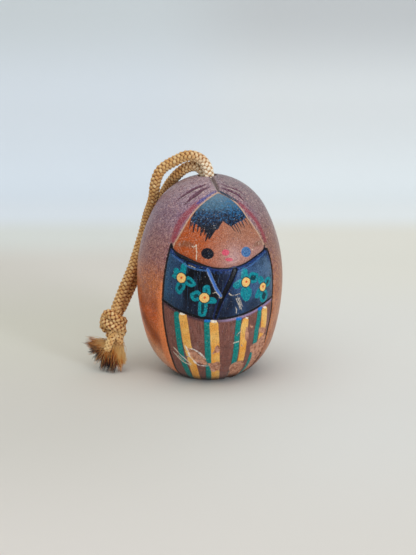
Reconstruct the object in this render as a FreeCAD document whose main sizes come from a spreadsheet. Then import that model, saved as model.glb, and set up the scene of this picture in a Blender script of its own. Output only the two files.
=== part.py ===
"""Egg-shaped turned wooden rattle doll with a doubled hanging cord.

The body is hollow and closed from below by a glued plug. The middle of the cord is a loop inside the
cavity, held by a peg wider than the hole in the crown, and seven loose balls lie on the plug.
Millimetres, +Z up. The origin is the centre of the base and the doll faces -Y.
"""
import FreeCAD, Part
import math
import os

import Sketcher
from FreeCAD import Placement, Rotation, Vector

DRIVING_SIZES = [
    ("body_height", 69.5),
    ("body_radius", 25.0),
    ("widest_height", 34.0),
    ("crown_radius", 21.5),
    ("lower_radius", 23.0),
    ("base_radius", 11.0),
    ("wall", 5.0),
    ("cavity_floor", 7.0),
    ("cavity_floor_radius", 11.0),
    ("cavity_lower_radius", 18.0),
    ("plug_bore_radius", 8.0),
    ("plug_recess", 0.3),
    ("glue_gap", 0.05),
    ("cord_hole_radius", 3.15),
    ("cord_hole_x", -0.83),
    ("cord_hole_y", 0.16),
    ("cord_diameter", 3.0),
    ("peg_radius", 1.5),
    ("peg_length", 14.0),
    ("peg_height", 57.0),
    ("pellet_radius", 3.0),
    ("pellet_ring_radius", 7.0),
    ("pellet_gap", 0.3),
    ("knot_length", 9.6),
    ("knot_core_radius", 2.6),
    ("wrap_radius", 3.3),
    ("frayed_neck_radius", 2.0),
    ("frayed_side_radius", 3.5),
    ("frayed_side_length", 9.5),
    ("frayed_floor_radius", 4.7),
    ("frayed_floor_length", 12.8),
    ("table_gap", 0.3),
]

# The cord leaves the hole as two legs side by side: this is the direction from the back leg to the front
# one, in degrees from +X, and half the distance between them.
LEG_DIRECTION = -76.3
LEG_OFFSET = 1.55

# Centre line of the loop inside, from its lowest run up to the hole: distance from the hole's axis and height.
BIGHT_HALF_ROUTE = [(3.35, 53.9), (3.3, 60.2), (1.6, 63.6), (LEG_OFFSET, 66.7)]

# Route points of the two legs, from the hole to the knot.
OUTER_ROUTE = [
    (-0.46, -1.35, 66.7), (-0.5, -1.35, 69.4), (-1.0, -0.7, 72.2), (-3.0, 0.9, 75.0), (-7.0, 2.8, 76.0),
    (-11.4, 4.7, 73.5), (-15.9, 6.2, 70.8), (-17.7, 6.9, 65.8), (-17.8, 9.1, 59.6), (-19.3, 13.4, 53.6),
    (-20.4, 15.9, 46.8), (-22.7, 14.8, 40.6), (-25.3, 10.8, 35.2), (-29.1, 7.1, 28.9), (-32.1, 6.6, 21.4),
]
INNER_ROUTE = [
    (-1.2, 1.67, 66.7), (-1.25, 1.75, 68.7), (-2.0, 2.3, 70.5), (-3.5, 3.45, 71.85), (-5.9, 5.1, 71.7),
    (-8.3, 7.0, 69.9), (-10.8, 9.6, 66.8), (-12.7, 13.8, 62.4), (-14.3, 17.6, 57.0), (-16.0, 19.4, 50.6),
    (-17.8, 19.6, 44.0), (-20.1, 18.1, 38.0), (-22.8, 14.2, 33.4), (-26.5, 10.3, 27.8), (-30.1, 8.4, 21.2),
]

KNOT_CENTRE = Vector(-32.6, 7.6, 17.0)
KNOT_LEAN = 14.0
# Each wrap of the knot: its distance up the knot from the middle, and its tilt about X and Y in degrees.
KNOT_WRAPS = [(2.4, 14.0, 16.0), (0.0, -16.0, -24.0), (-2.6, 10.0, 12.0)]

FRAYED_SIDE_NECK = Vector(-33.9, 7.4, 12.8)
FRAYED_SIDE_LEAN = -112.0
FRAYED_FLOOR_CENTRE = (-32.9, 6.5)
SIDE_TURN = 11.0

document = FreeCAD.newDocument("rattle_doll")
sheet = document.addObject("Spreadsheet::Sheet", "sizes")
for row, (alias, value) in enumerate(DRIVING_SIZES, start=1):
    sheet.set(f"A{row}", alias)
    sheet.set(f"B{row}", str(value))
    sheet.setAlias(f"B{row}", alias)
document.recompute()


def size(alias):
    """A driving dimension, as a number in millimetres."""
    return float(sheet.get(alias))


def origin_plane(body, role):
    """One of a body's own origin planes."""
    return next(item for item in body.Origin.OriginFeatures if item.Role == role)


def bind(target, **expressions):
    """Bind properties of an object to expressions, with a double underscore for each dot."""
    for name, expression in expressions.items():
        target.setExpression(name.replace("__", "."), expression)


# ---------------------------------------------------------------------------------------- the egg profile
def egg_sketch(body, name, foot, foot_radius, lower, wide, wide_height, crown, top):
    """Half outline of an egg from four tangent arcs, closed by its foot and the axis.

    Each size is an expression. The two side arcs have no size of their own: they follow from tangency.
    """
    values = {key: sheet_value(text) for key, text in dict(
        foot=foot, foot_radius=foot_radius, lower=lower, wide=wide, wide_height=wide_height,
        crown=crown, top=top).items()}
    lower_centre = values["foot"] + math.sqrt(values["lower"] ** 2 - values["foot_radius"] ** 2)
    crown_centre = values["top"] - values["crown"]

    def side(radius, drop):
        return (values["wide"] ** 2 + drop ** 2 - radius ** 2) / (2 * (values["wide"] - radius))

    under = side(values["lower"], values["wide_height"] - lower_centre)
    over = side(values["crown"], crown_centre - values["wide_height"])
    under_angle = math.atan2(lower_centre - values["wide_height"], under - values["wide"])
    over_angle = math.atan2(crown_centre - values["wide_height"], over - values["wide"])
    foot_angle = math.atan2(values["foot"] - lower_centre, values["foot_radius"])

    def arc(x, y, radius, start, end):
        return Part.ArcOfCircle(Part.Circle(Vector(x, y, 0), Vector(0, 0, 1), radius), start, end)

    sketch = body.newObject("Sketcher::SketchObject", name)
    sketch.AttachmentSupport = [(origin_plane(body, "XZ_Plane"), "")]
    sketch.MapMode = "FlatFace"
    middle = values["wide_height"]
    floor_line = sketch.addGeometry(Part.LineSegment(
        Vector(0, values["foot"], 0), Vector(values["foot_radius"], values["foot"], 0)))
    low = sketch.addGeometry(arc(0, lower_centre, values["lower"], foot_angle, under_angle))
    lower_side = sketch.addGeometry(arc(values["wide"] - under, middle, under, under_angle, 0))
    upper_side = sketch.addGeometry(arc(values["wide"] - over, middle, over, 0, over_angle))
    high = sketch.addGeometry(arc(0, crown_centre, values["crown"], over_angle, math.pi / 2))
    axis = sketch.addGeometry(Part.LineSegment(Vector(0, values["top"], 0), Vector(0, values["foot"], 0)))

    start, end, centre = 1, 2, 3
    x_axis, y_axis = -1, -2
    rules = [
        ("Coincident", floor_line, end, low, start), ("Tangent", low, end, lower_side, start),
        ("Tangent", lower_side, end, upper_side, start), ("Tangent", upper_side, end, high, start),
        ("Coincident", high, end, axis, start), ("Coincident", axis, end, floor_line, start),
        ("PointOnObject", axis, end, y_axis), ("Vertical", axis), ("Horizontal", floor_line),
        ("PointOnObject", low, centre, y_axis), ("PointOnObject", high, centre, y_axis),
        ("Horizontal", lower_side, centre, lower_side, end),
    ]
    for rule in rules:
        sketch.addConstraint(Sketcher.Constraint(*rule))
    measured = [
        ("foot_height", foot, ("DistanceY", x_axis, start, floor_line, start)),
        ("foot_size", foot_radius, ("DistanceX", floor_line, start, floor_line, end)),
        ("wide_size", wide, ("DistanceX", x_axis, start, lower_side, end)),
        ("wide_place", wide_height, ("DistanceY", x_axis, start, lower_side, end)),
        ("top_place", top, ("DistanceY", x_axis, start, high, end)),
        ("crown_size", crown, ("Radius", high)),
        ("lower_size", lower, ("Radius", low)),
    ]
    for label, text, rule in measured:
        index = sketch.addConstraint(Sketcher.Constraint(*rule, sheet_value(text)))
        sketch.renameConstraint(index, label)
        sketch.setExpression(f"Constraints.{label}", text)
    return sketch


def sheet_value(text):
    """The number that an expression of sheet cells gives, worked out by the sheet itself."""
    return float(sheet.evalExpression(text.replace("sizes.", "")))


def circle_sketch(body, name, radius, height=None, centre=None):
    """A circle on the horizontal plane, or a stated height above it, about the axis or a stated centre."""
    sketch = body.newObject("Sketcher::SketchObject", name)
    sketch.AttachmentSupport = [(origin_plane(body, "XY_Plane"), "")]
    sketch.MapMode = "FlatFace"
    circle = sketch.addGeometry(Part.Circle(Vector(0, 0, 0), Vector(0, 0, 1), sheet_value(radius)))
    sketch.addConstraint(Sketcher.Constraint("Coincident", circle, 3, -1, 1))
    index = sketch.addConstraint(Sketcher.Constraint("Radius", circle, sheet_value(radius)))
    sketch.renameConstraint(index, "radius")
    sketch.setExpression("Constraints.radius", radius)
    if height:
        sketch.setExpression("AttachmentOffset.Base.z", height)
    if centre:
        sketch.setExpression("AttachmentOffset.Base.x", centre[0])
        sketch.setExpression("AttachmentOffset.Base.y", centre[1])
    return sketch


def drill(body, name, radius, depth, centre=None):
    """A round hole upwards from the base, as deep as stated."""
    before = body.Shape.Volume
    pocket = body.newObject("PartDesign::Pocket", name)
    pocket.Profile = circle_sketch(body, name + "_circle", radius, centre=centre)
    pocket.Reversed = True
    pocket.setExpression("Length", depth)
    document.recompute()
    print(f"{name} takes {before - body.Shape.Volume:.0f} cubic mm")
    return pocket


# ------------------------------------------------------------------------------------------ turned pieces
def make_body_shell():
    """The turned wooden body: egg outside, egg-shaped cavity, plug bore below and cord hole above."""
    body = document.addObject("PartDesign::Body", "body_shell")
    turned = body.newObject("PartDesign::Revolution", "turned_outside")
    turned.Profile = egg_sketch(
        body, "outside_outline", "0 * sizes.wall", "sizes.base_radius", "sizes.lower_radius",
        "sizes.body_radius", "sizes.widest_height", "sizes.crown_radius", "sizes.body_height")
    turned.ReferenceAxis = (turned.Profile[0], ["V_Axis"])
    turned.Angle = 360
    document.recompute()
    solid_volume = body.Shape.Volume

    cavity = body.newObject("PartDesign::Groove", "cavity")
    cavity.Profile = egg_sketch(
        body, "cavity_outline", "sizes.cavity_floor", "sizes.cavity_floor_radius",
        "sizes.cavity_lower_radius", "sizes.body_radius - sizes.wall", "sizes.widest_height",
        "sizes.crown_radius - sizes.wall", "sizes.body_height - sizes.wall")
    cavity.ReferenceAxis = (cavity.Profile[0], ["V_Axis"])
    cavity.Angle = 360
    document.recompute()
    print(f"cavity takes {solid_volume - body.Shape.Volume:.0f} of {solid_volume:.0f} cubic mm")

    drill(body, "plug_bore", "sizes.plug_bore_radius", "sizes.cavity_floor + 1")
    drill(body, "cord_hole", "sizes.cord_hole_radius", "sizes.body_height + 1",
          ("sizes.cord_hole_x", "sizes.cord_hole_y"))
    return body


def make_base_plug():
    """The turned disc glued into the base, a little short of the standing ring."""
    body = document.addObject("PartDesign::Body", "base_plug")
    disc = body.newObject("PartDesign::Pad", "plug_disc")
    disc.Profile = circle_sketch(
        body, "plug_circle", "sizes.plug_bore_radius - sizes.glue_gap", "sizes.plug_recess")
    disc.setExpression("Length", "sizes.cavity_floor - sizes.plug_recess")
    return body


def make_toggle_peg():
    """The short peg across the cavity that the loop passes round, square to the two legs."""
    peg = document.addObject("Part::Cylinder", "toggle_peg")
    bind(peg, Radius="sizes.peg_radius", Height="sizes.peg_length")
    along = Rotation(Vector(0, 0, 1), LEG_DIRECTION + 90) * Rotation(Vector(0, 1, 0), 90)
    middle = Vector(size("cord_hole_x"), size("cord_hole_y"), size("peg_height"))
    peg.Placement = Placement(middle - along.multVec(Vector(0, 0, size("peg_length") / 2)), along)
    return peg


def make_pellets():
    """Seven balls at rest on the plug: one in the middle and six round it."""
    height = "sizes.cavity_floor + sizes.pellet_radius + sizes.pellet_gap"
    pellets = []
    for index in range(7):
        name = f"pellet_{index}" if index else "pellet_centre"
        ball = document.addObject("Part::Sphere", name)
        angle = LEG_DIRECTION + 60 * index
        reach = "sizes.pellet_ring_radius" if index else "0 mm"
        bind(ball, Radius="sizes.pellet_radius", Placement__Base__x=f"{reach} * cos({angle} deg)",
             Placement__Base__y=f"{reach} * sin({angle} deg)", Placement__Base__z=height)
        pellets.append(ball)
    return pellets


# ---------------------------------------------------------------------------------------------- the cord
def rounded_path(points):
    """Straight runs joined by tangent arcs, each as large as its two runs allow."""
    points = [Vector(*point) for point in points]
    edges, radii = [], []
    here = points[0]
    for before, corner, after in zip(points, points[1:], points[2:]):
        arriving = (corner - before).normalize()
        leaving = (after - corner).normalize()
        shorter = min((corner - before).Length, (after - corner).Length)
        half_turn = arriving.getAngle(leaving) / 2
        reach = 0.45 * shorter
        radius = reach / math.tan(half_turn)
        inward = (leaving - arriving).normalize()
        first, last = corner - arriving * reach, corner + leaving * reach
        middle = corner + inward * (math.hypot(radius, reach) - radius)
        edges += [Part.LineSegment(here, first).toShape(), Part.Arc(first, middle, last).toShape()]
        radii.append(radius)
        here = last
    edges.append(Part.LineSegment(here, points[-1]).toShape())
    return Part.Wire(edges), radii


def make_tube(name, points):
    """One stretch of the braided cord as a plain round tube along its route."""
    radius = size("cord_diameter") / 2
    path, radii = rounded_path(points)
    first_run = Vector(*points[1]) - Vector(*points[0])
    section = Part.Wire(Part.Circle(Vector(*points[0]), first_run, radius).toShape())
    tube = document.addObject("Part::Feature", name)
    tube.Shape = path.makePipeShell([section], True, True)
    expected = math.pi * radius ** 2 * path.Length
    print(f"{name}: length {path.Length:.1f}, volume {tube.Shape.Volume:.0f} for {expected:.0f}, radii",
          [round(value, 1) for value in radii])
    return tube


def bight_route():
    """The loop's points, from the front leg down, under the peg and up to the back leg."""
    angle = math.radians(LEG_DIRECTION)
    front = list(reversed(BIGHT_HALF_ROUTE))
    back = [(-reach, height) for reach, height in BIGHT_HALF_ROUTE]
    return [(size("cord_hole_x") + reach * math.cos(angle), size("cord_hole_y") + reach * math.sin(angle),
             height) for reach, height in front + back]


def make_knot():
    """The overhand knot of the doubled cord: a core with its wraps standing out."""
    lean = Rotation(Vector(0, 1, 0), KNOT_LEAN)
    core = document.addObject("Part::Cylinder", "knot_core")
    bind(core, Radius="sizes.knot_core_radius", Height="sizes.knot_length")
    core.Placement = Placement(KNOT_CENTRE + lean.multVec(Vector(0, 0, -size("knot_length") / 2)), lean)
    knot, last = core, len(KNOT_WRAPS)
    for index, (rise, tilt_x, tilt_y) in enumerate(KNOT_WRAPS, start=1):
        wrap = document.addObject("Part::Torus", f"knot_wrap_{index}")
        bind(wrap, Radius1="sizes.wrap_radius", Radius2="sizes.cord_diameter / 2")
        turn = lean * Rotation(Vector(0, 1, 0), tilt_y) * Rotation(Vector(1, 0, 0), tilt_x)
        wrap.Placement = Placement(KNOT_CENTRE + lean.multVec(Vector(0, 0, rise)), turn)
        joined = document.addObject("Part::Fuse", f"knot_with_wrap_{index}" if index < last else "knot")
        joined.Base, joined.Tool = knot, wrap
        knot = joined
    return knot


def make_frayed_ends():
    """The two loose ends below the knot, opened out into tufts: one to the side, one on the table."""
    side = document.addObject("Part::Cone", "frayed_end_side")
    bind(side, Radius1="sizes.frayed_neck_radius", Radius2="sizes.frayed_side_radius",
         Height="sizes.frayed_side_length")
    turn = Rotation(Vector(0, 0, 1), -SIDE_TURN) * Rotation(Vector(0, 1, 0), FRAYED_SIDE_LEAN)
    side.Placement = Placement(FRAYED_SIDE_NECK, turn)
    floor = document.addObject("Part::Cone", "frayed_end_floor")
    bind(floor, Radius1="sizes.frayed_floor_radius", Radius2="sizes.frayed_neck_radius",
         Height="sizes.frayed_floor_length", Placement__Base__z="sizes.table_gap")
    floor.Placement.Base = Vector(*FRAYED_FLOOR_CENTRE, size("table_gap"))
    return [side, floor]


# ------------------------------------------------------------------------------------------- build, write
parts = [make_body_shell(), make_base_plug(), make_toggle_peg()]
parts += make_pellets()
parts += [
    make_tube("cord_bight", bight_route()),
    make_tube("cord_leg_outer", OUTER_ROUTE),
    make_tube("cord_leg_inner", INNER_ROUTE),
    make_knot(),
]
parts += make_frayed_ends()
document.recompute()

for item in document.Objects:
    if "Invalid" in item.State or "Error" in item.State:
        raise RuntimeError(f"{item.Name} did not build: {item.State}")

os.makedirs("parts", exist_ok=True)
for part in parts:
    part.Label = part.Name
    shape = part.Shape
    if shape.isNull() or not shape.isValid():
        raise RuntimeError(f"{part.Name} has no valid shape")
    shape.exportStep(f"parts/{part.Label}.step")
    box = shape.BoundBox
    print(f"{part.Label}: {len(shape.Solids)} solid, {shape.Volume:.1f} cubic mm, "
          f"z {box.ZMin:.2f} to {box.ZMax:.2f}")
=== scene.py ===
"""Rattle doll: an egg-shaped turned body, carved and painted as a hooded girl, with a braided cord.

Shapes are worked out in millimetres and turned into metres when a mesh is made. The doll faces -Y.
A place on the painted surface is (angle, height): degrees round from the front towards +X, and mm up.
"""
import math

import bpy
import numpy as np
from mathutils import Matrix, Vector


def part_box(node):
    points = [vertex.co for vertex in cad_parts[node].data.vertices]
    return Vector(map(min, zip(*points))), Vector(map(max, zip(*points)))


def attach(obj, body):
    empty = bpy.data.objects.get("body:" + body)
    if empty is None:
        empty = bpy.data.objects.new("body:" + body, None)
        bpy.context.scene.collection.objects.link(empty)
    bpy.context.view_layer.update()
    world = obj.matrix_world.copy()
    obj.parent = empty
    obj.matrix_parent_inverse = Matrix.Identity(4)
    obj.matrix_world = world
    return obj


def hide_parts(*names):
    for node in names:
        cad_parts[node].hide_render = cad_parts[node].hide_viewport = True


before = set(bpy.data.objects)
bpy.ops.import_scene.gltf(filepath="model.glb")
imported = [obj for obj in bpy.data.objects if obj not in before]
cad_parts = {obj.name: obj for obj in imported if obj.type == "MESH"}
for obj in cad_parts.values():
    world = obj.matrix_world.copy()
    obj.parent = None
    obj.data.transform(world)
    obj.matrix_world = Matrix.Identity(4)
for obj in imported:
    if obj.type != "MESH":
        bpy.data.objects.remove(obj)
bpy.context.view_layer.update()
random_source = np.random.default_rng(11)

MM = 0.001
REACH = 3.0  # distances to outlines are worked out this far, in mm

# ------------------------------------------------------------------------------------------------ sizes
BODY_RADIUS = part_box("body_shell")[1][0] / MM
BODY_TOP = 69.5
WIDEST = 34.0
CROWN_RADIUS = 21.5
LOWER_RADIUS = 23.0
BASE_RADIUS = 11.0
WALL = 5.0
CAVITY_FLOOR = 7.0
CAVITY_LOWER_RADIUS = 18.0
PLUG_BORE_RADIUS = 8.0
CORD_HOLE_RADIUS = 3.15
CORD_HOLE_CENTRE = np.array([-0.83, 0.16])
HOLE_LIP = 0.2
FOOT_EDGE = 0.5
BORE_CHAMFER = 0.3
CORD_DIAMETER = 3.0

# The body's mesh is fine in front, where it is carved, and coarser behind: steps in degrees, then in mm.
FRONT_HALF_ANGLE = 70.0
FRONT_STEP = 0.7
BACK_STEP = 2.6
OUTSIDE_STEP = 0.3
INSIDE_STEP = 2.2

# The photographed side is turned this far round from the doll's front.
VIEW_TURN = math.radians(-11.0)
VIEW_RIGHT = np.array([math.cos(VIEW_TURN), math.sin(VIEW_TURN), 0.0])
VIEW_FRONT = np.array([math.sin(VIEW_TURN), -math.cos(VIEW_TURN), 0.0])


# ---------------------------------------------------------------------------------------- the egg's shape
def arc_points(centre, radius, start, end, step):
    """Points along an arc, from angle start to angle end, as (reach, height) rows."""
    count = max(2, math.ceil(radius * abs(end - start) / step))
    angles = np.linspace(start, end, count + 1)
    return np.column_stack([centre[0] + radius * np.cos(angles), centre[1] + radius * np.sin(angles)])


def side_arc(wide, radius, drop):
    """Radius of the side arc that is upright at the widest place and tangent to an end arc."""
    return (wide ** 2 + drop ** 2 - radius ** 2) / (2 * (wide - radius))


def egg_outline(wide, crown, top, lower, foot, foot_radius, mouth_radius, step):
    """Four tangent arcs from a mouth of a given radius in the crown down to the foot."""
    crown_centre = top - crown
    lower_centre = foot + math.sqrt(lower ** 2 - foot_radius ** 2)
    over = side_arc(wide, crown, crown_centre - WIDEST)
    under = side_arc(wide, lower, WIDEST - lower_centre)
    over_angle = math.atan2(crown_centre - WIDEST, over - wide)
    under_angle = math.atan2(lower_centre - WIDEST, under - wide)
    foot_angle = math.atan2(foot - lower_centre, foot_radius)
    pieces = [
        arc_points((0, crown_centre), crown, math.acos(mouth_radius / crown), over_angle, step),
        arc_points((wide - over, WIDEST), over, over_angle, 0, step),
        arc_points((wide - under, WIDEST), under, 0, under_angle, step),
        arc_points((0, lower_centre), lower, under_angle, foot_angle, step),
    ]
    return np.vstack([pieces[0]] + [piece[1:] for piece in pieces[1:]])


OUTSIDE = egg_outline(BODY_RADIUS, CROWN_RADIUS, BODY_TOP, LOWER_RADIUS, 0, BASE_RADIUS,
                      CORD_HOLE_RADIUS + HOLE_LIP, OUTSIDE_STEP)
INSIDE = egg_outline(BODY_RADIUS - WALL, CROWN_RADIUS - WALL, BODY_TOP - WALL, CAVITY_LOWER_RADIUS,
                     CAVITY_FLOOR, BASE_RADIUS, CORD_HOLE_RADIUS, INSIDE_STEP)


def reach_at(height):
    """The body's outside radius at a height."""
    return np.interp(height, OUTSIDE[::-1, 1], OUTSIDE[::-1, 0])


def on_body(places):
    """Points in space of (angle, height) places on the body."""
    places = np.asarray(places, float)
    turn, height = np.radians(places[:, 0]), places[:, 1]
    reach = reach_at(height)
    return np.column_stack([reach * np.sin(turn), -reach * np.cos(turn), height])


def smooth(points, closed=False, steps=8):
    """A Catmull-Rom curve through given points."""
    points = np.asarray(points, float)
    if closed:
        padded = np.vstack([points[-1:], points, points[:2]])
    else:
        padded = np.vstack([2 * points[0] - points[1], points, 2 * points[-1] - points[-2]])
    rows = []
    for before, here, there, after in zip(padded, padded[1:], padded[2:], padded[3:]):
        for part in np.arange(steps) / steps:
            rows.append(0.5 * (2 * here + (there - before) * part
                               + (2 * before - 5 * here + 4 * there - after) * part ** 2
                               + (3 * here - before - 3 * there + after) * part ** 3))
    if not closed:
        rows.append(points[-1])
    return np.array(rows)


def around_hole(points, sphere_radius):
    """Moves points near the axis sideways along the crown's sphere, so that they ring the cord hole.

    The move is whole up to 4 mm from the axis and fades out by 9.5 mm.
    """
    reach = np.hypot(points[:, 0], points[:, 1])
    part = np.clip((9.5 - reach) / 5.5, 0, 1)
    points[:, :2] += (part * part * (3 - 2 * part))[:, None] * CORD_HOLE_CENTRE
    moved = np.hypot(points[:, 0], points[:, 1])
    before, after = (np.sqrt(sphere_radius ** 2 - np.minimum(away, 12) ** 2) for away in (reach, moved))
    points[:, 2] += np.where(part > 0, after - before, 0)


# --------------------------------------------------------------------------- the painted and carved design
FACE_SIDES = smooth([(-43.6, 48.6), (-41, 51.0), (-37.7, 53.6), (-32.6, 57.6), (-26.3, 60.8),
                     (-15.6, 63.6),
                     (1.6, 65.6), (14, 64.4), (20, 63.1), (25.3, 60.9), (29.9, 57.4), (34, 54.6),
                     (38, 51.6),
                     (40.9, 48)])
CHIN = smooth([(40.9, 48), (38.5, 46.9), (28.3, 45.5), (18.2, 43.9), (8.8, 43.0), (-1.1, 42.8),
               (-10, 43.3),
               (-20.3, 44.6), (-30.6, 46.2), (-39, 47.4), (-43.6, 48.6)])
CHIN_CORNERS = [[(-43.6, 48.4), (-45.3, 49.6)], [(39.5, 47.2), (44, 46.6), (45.4, 44)]]
PANEL_LEFT = smooth([(-45.4, 49.4), (-46.3, 47.3), (-47.6, 42.5), (-48.7, 37.1), (-49.9, 30.9)])
PANEL_RIGHT = smooth([(46.4, 30.5), (46.8, 36), (45.9, 43), (44, 46.8)])
PANEL_FOOT = smooth([(-49.9, 30.9), (-37.4, 28.4), (-26.2, 27.0), (-17.2, 26.1), (-6.6, 25.8),
                     (4.1, 25.9),
                     (17.3, 26.8), (32.4, 28.7), (46.4, 30.5)])
SKIRT_LEFT = smooth([(-49.9, 30.9), (-50.1, 24.5), (-49.8, 16.4), (-50.4, 8), (-58, 2), (-62, 0)])
SKIRT_RIGHT = smooth([(50, 0), (47.4, 7), (46.2, 12), (46.2, 19), (46.8, 25), (46.4, 30.5)])

HAIR = [(0.8, 65.6), (-12.4, 64.1), (-24, 61.8), (-28.4, 59.5), (-29.2, 57.2), (-25, 56.7), (-20.6, 55.6),
        (-14, 54.7), (-8.7, 54.3), (-3.5, 54.9), (-0.5, 56.4), (1.7, 57.3), (3.7, 56.8), (8.7, 55.5),
        (13.4, 56.1), (18, 56.8), (22, 56.9), (26, 57.6), (29.4, 57.2), (28, 58.8), (25, 60.9),
        (17, 63.8)]
# Loose bristles at the hair's lower edge, each from its root to its tip.
BRISTLES = [[(-29.1, 58.4, 0.26), (-30, 54.9, 0.14)], [(-25.1, 58, 0.44), (-26.1, 54, 0.22)],
            [(-21.5, 57.4, 0.42), (-22.2, 54.2, 0.2)], [(-18.2, 57, 0.44), (-19, 53, 0.18)],
            [(-14.3, 56.2, 0.42), (-15.6, 53.2, 0.18)], [(-10.4, 56, 0.5), (-13, 53.2, 0.38),
                                                         (-14.8, 51.3, 0.16)],
            [(-7.6, 56, 0.44), (-12, 52.2, 0.18)],
            [(-27.4, 58, 0.34), (-28.3, 55.6, 0.14)], [(-16.4, 56, 0.34), (-17.4, 54, 0.16)],
            [(-12.4, 56, 0.42), (-14, 53.8, 0.2)], [(-5, 56, 0.6), (-9.4, 53.4, 0.34),
                                                    (-11.6, 51.9, 0.14)], [(9.2, 55.8, 0.2),
                                                                           (12.2, 54, 0.1)],
            [(12.2, 56, 0.2), (15.5, 53.6, 0.1)], [(14.6, 56.4, 0.2), (18, 52.9, 0.08)],
            [(17.4, 57, 0.22), (19.6, 55, 0.12)], [(20.9, 57.2, 0.28), (22.7, 54.9, 0.14)],
            [(24, 57.6, 0.22), (27.2, 55.4, 0.1)], [(28.2, 58.6, 0.26), (30.8, 53.9, 0.1)]]

# Brush strokes: each row is an angle, a height and half the stroke's width there in mm.
VIOLET_STROKES = [
    [(-22, 67.6, 0.24), (-28.9, 67.2, 0.46), (-38, 66.5, 0.66), (-46, 65.2, 0.62), (-52, 63.8, 0.4),
     (-56, 62.6, 0.1)],
    [(-11.7, 67, 0.2), (-22.6, 66.4, 0.52), (-30, 65.2, 0.84), (-36, 63.9, 0.6), (-42.2, 61.9, 0.12)],
    [(11.4, 66.7, 0.26), (19.7, 66.1, 0.54), (28.6, 65, 0.64), (32.8, 63.9, 0.46), (34.6, 62.7, 0.12)],
]
FAINT_STROKES = [[(14.9, 67.7, 0.2), (23.3, 67, 0.46), (33, 66.2, 0.54), (40, 65.2, 0.46),
                  (45.4, 63.8, 0.14)]]
BLUE_STROKES = [[(-1.6, 65.9, 0.24), (-9, 65.3, 0.3), (-15, 64.5, 0.28), (-19.7, 63.7, 0.62),
                 (-23.7, 63, 0.5),
                 (-28, 62, 0.14)]]
TEAL_STROKES = [[(3.8, 66, 0.25), (9, 65.4, 0.42), (14.8, 64.6, 0.44), (20.8, 63.6, 0.42),
                 (25.4, 62.4, 0.16)]]
ROSE_BANDS = [
    [(-24, 63.1, 0.25), (-28.6, 61.7, 0.6), (-36.6, 58.7, 0.9), (-41.3, 55.7, 0.95), (-44, 51, 0.7)],
    [(24, 62.6, 0.25), (28, 61.4, 0.45), (33, 59.2, 0.6), (38.5, 56.4, 0.65), (42, 53, 0.65),
     (43.4, 49.6, 0.5)],
]
# Painted rim light: lighter orange bands low down each side of the body, where it turns away from view, standing
# in for light on its edges.
PAINTED_RIM_LIGHT_BANDS = [
    [(-50.8, 36, 0.3), (-52, 30, 1.0), (-53, 20, 1.5), (-54.5, 10, 1.3), (-57, 2, 0.8)],
    [(47.6, 40, 0.4), (48.8, 32, 0.9), (48.4, 22, 1.0), (46.6, 10, 0.9)],
]
PARTING = [(-2.4, 69.2, 0.75), (-1, 68.7, 0.8), (1, 67.9, 0.8), (2.6, 66.7, 0.6), (2.4, 65.8, 0.15)]
# Painted highlight: a pale line along the edge of the parting's carved groove.
PAINTED_PARTING_HIGHLIGHT = [(-7, 69.2, 0.1), (-4.4, 68.6, 0.12), (-2, 67.7, 0.14), (0.8, 66.0, 0.14)]

COLLAR_LEFT = [(-12.6, 42.4, 0.34), (-11.3, 41.2, 0.4), (-9.1, 39.0, 0.38), (-6, 36, 0.36),
               (-2.6, 33.6, 0.28)]
COLLAR_RIGHT = [(8.8, 42.0, 0.95), (5.3, 38.7, 0.9), (-0.3, 34.1, 0.8), (-4.3, 29.8, 0.6),
                (-6.8, 26.1, 0.45)]
COLLAR_SHADE = [(-14.4, 41.8, 0.2), (-12.6, 39.2, 1.2), (-9.6, 36, 1.3), (-7, 33.5, 0.8)]
COLLAR_BANDS = [
    [(-43.4, 46.6, 0.12), (-34.1, 44.6, 0.22), (-27.2, 43.1, 0.26), (-20.1, 42.4, 0.26),
     (-12.2, 42, 0.16)],
    [(10.5, 41.4, 0.2), (19.3, 42.3, 0.26), (30.6, 44.3, 0.24), (40, 46, 0.12)],
]
# A burn-like brown stain low on the hood.
STAIN = [[(-80, 22, 1.4), (-72, 19.5, 2.0), (-64, 16.6, 1.8), (-58, 14.2, 0.4)]]

# Each flower: its middle and the radius of its eye in mm, then its petals. A petal is the angle and height
# of its tip and how wide it is for its length; an open petal is dark inside, a closed one is all painted.
FLOWERS = [
    ((-33.1, 39.3), 1.6, [(-30.6, 44.3, 0.6, "open"), (-39.6, 42.2, 0.62, "closed"),
                          (-41.2, 39.6, 0.6, "closed"), (-34.4, 33.8, 0.68, "open"),
                          (-21.4, 37.4, 0.6, "open")]),
    ((-15.1, 33.1), 1.65, [(-26.0, 34.0, 0.82, "open"), (-12.2, 37.4, 0.8, "open"),
                           (-6.0, 31.6, 0.72, "open"),
                           (-17.6, 26.4, 0.64, "open")]),
    ((17.4, 37.6), 1.55, [(6.4, 37.0, 0.68, "closed"), (15.7, 42.4, 0.66, "closed"),
                          (29.2, 39.5, 0.72, "open"),
                          (17.7, 31.0, 0.62, "closed")]),
    ((33.5, 34.9), 1.4, [(30.6, 38.9, 0.66, "closed"), (43.2, 37.2, 0.64, "open"),
                         (25.8, 31.8, 0.68, "open"),
                         (35.8, 29.2, 0.68, "open")]),
]

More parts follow.
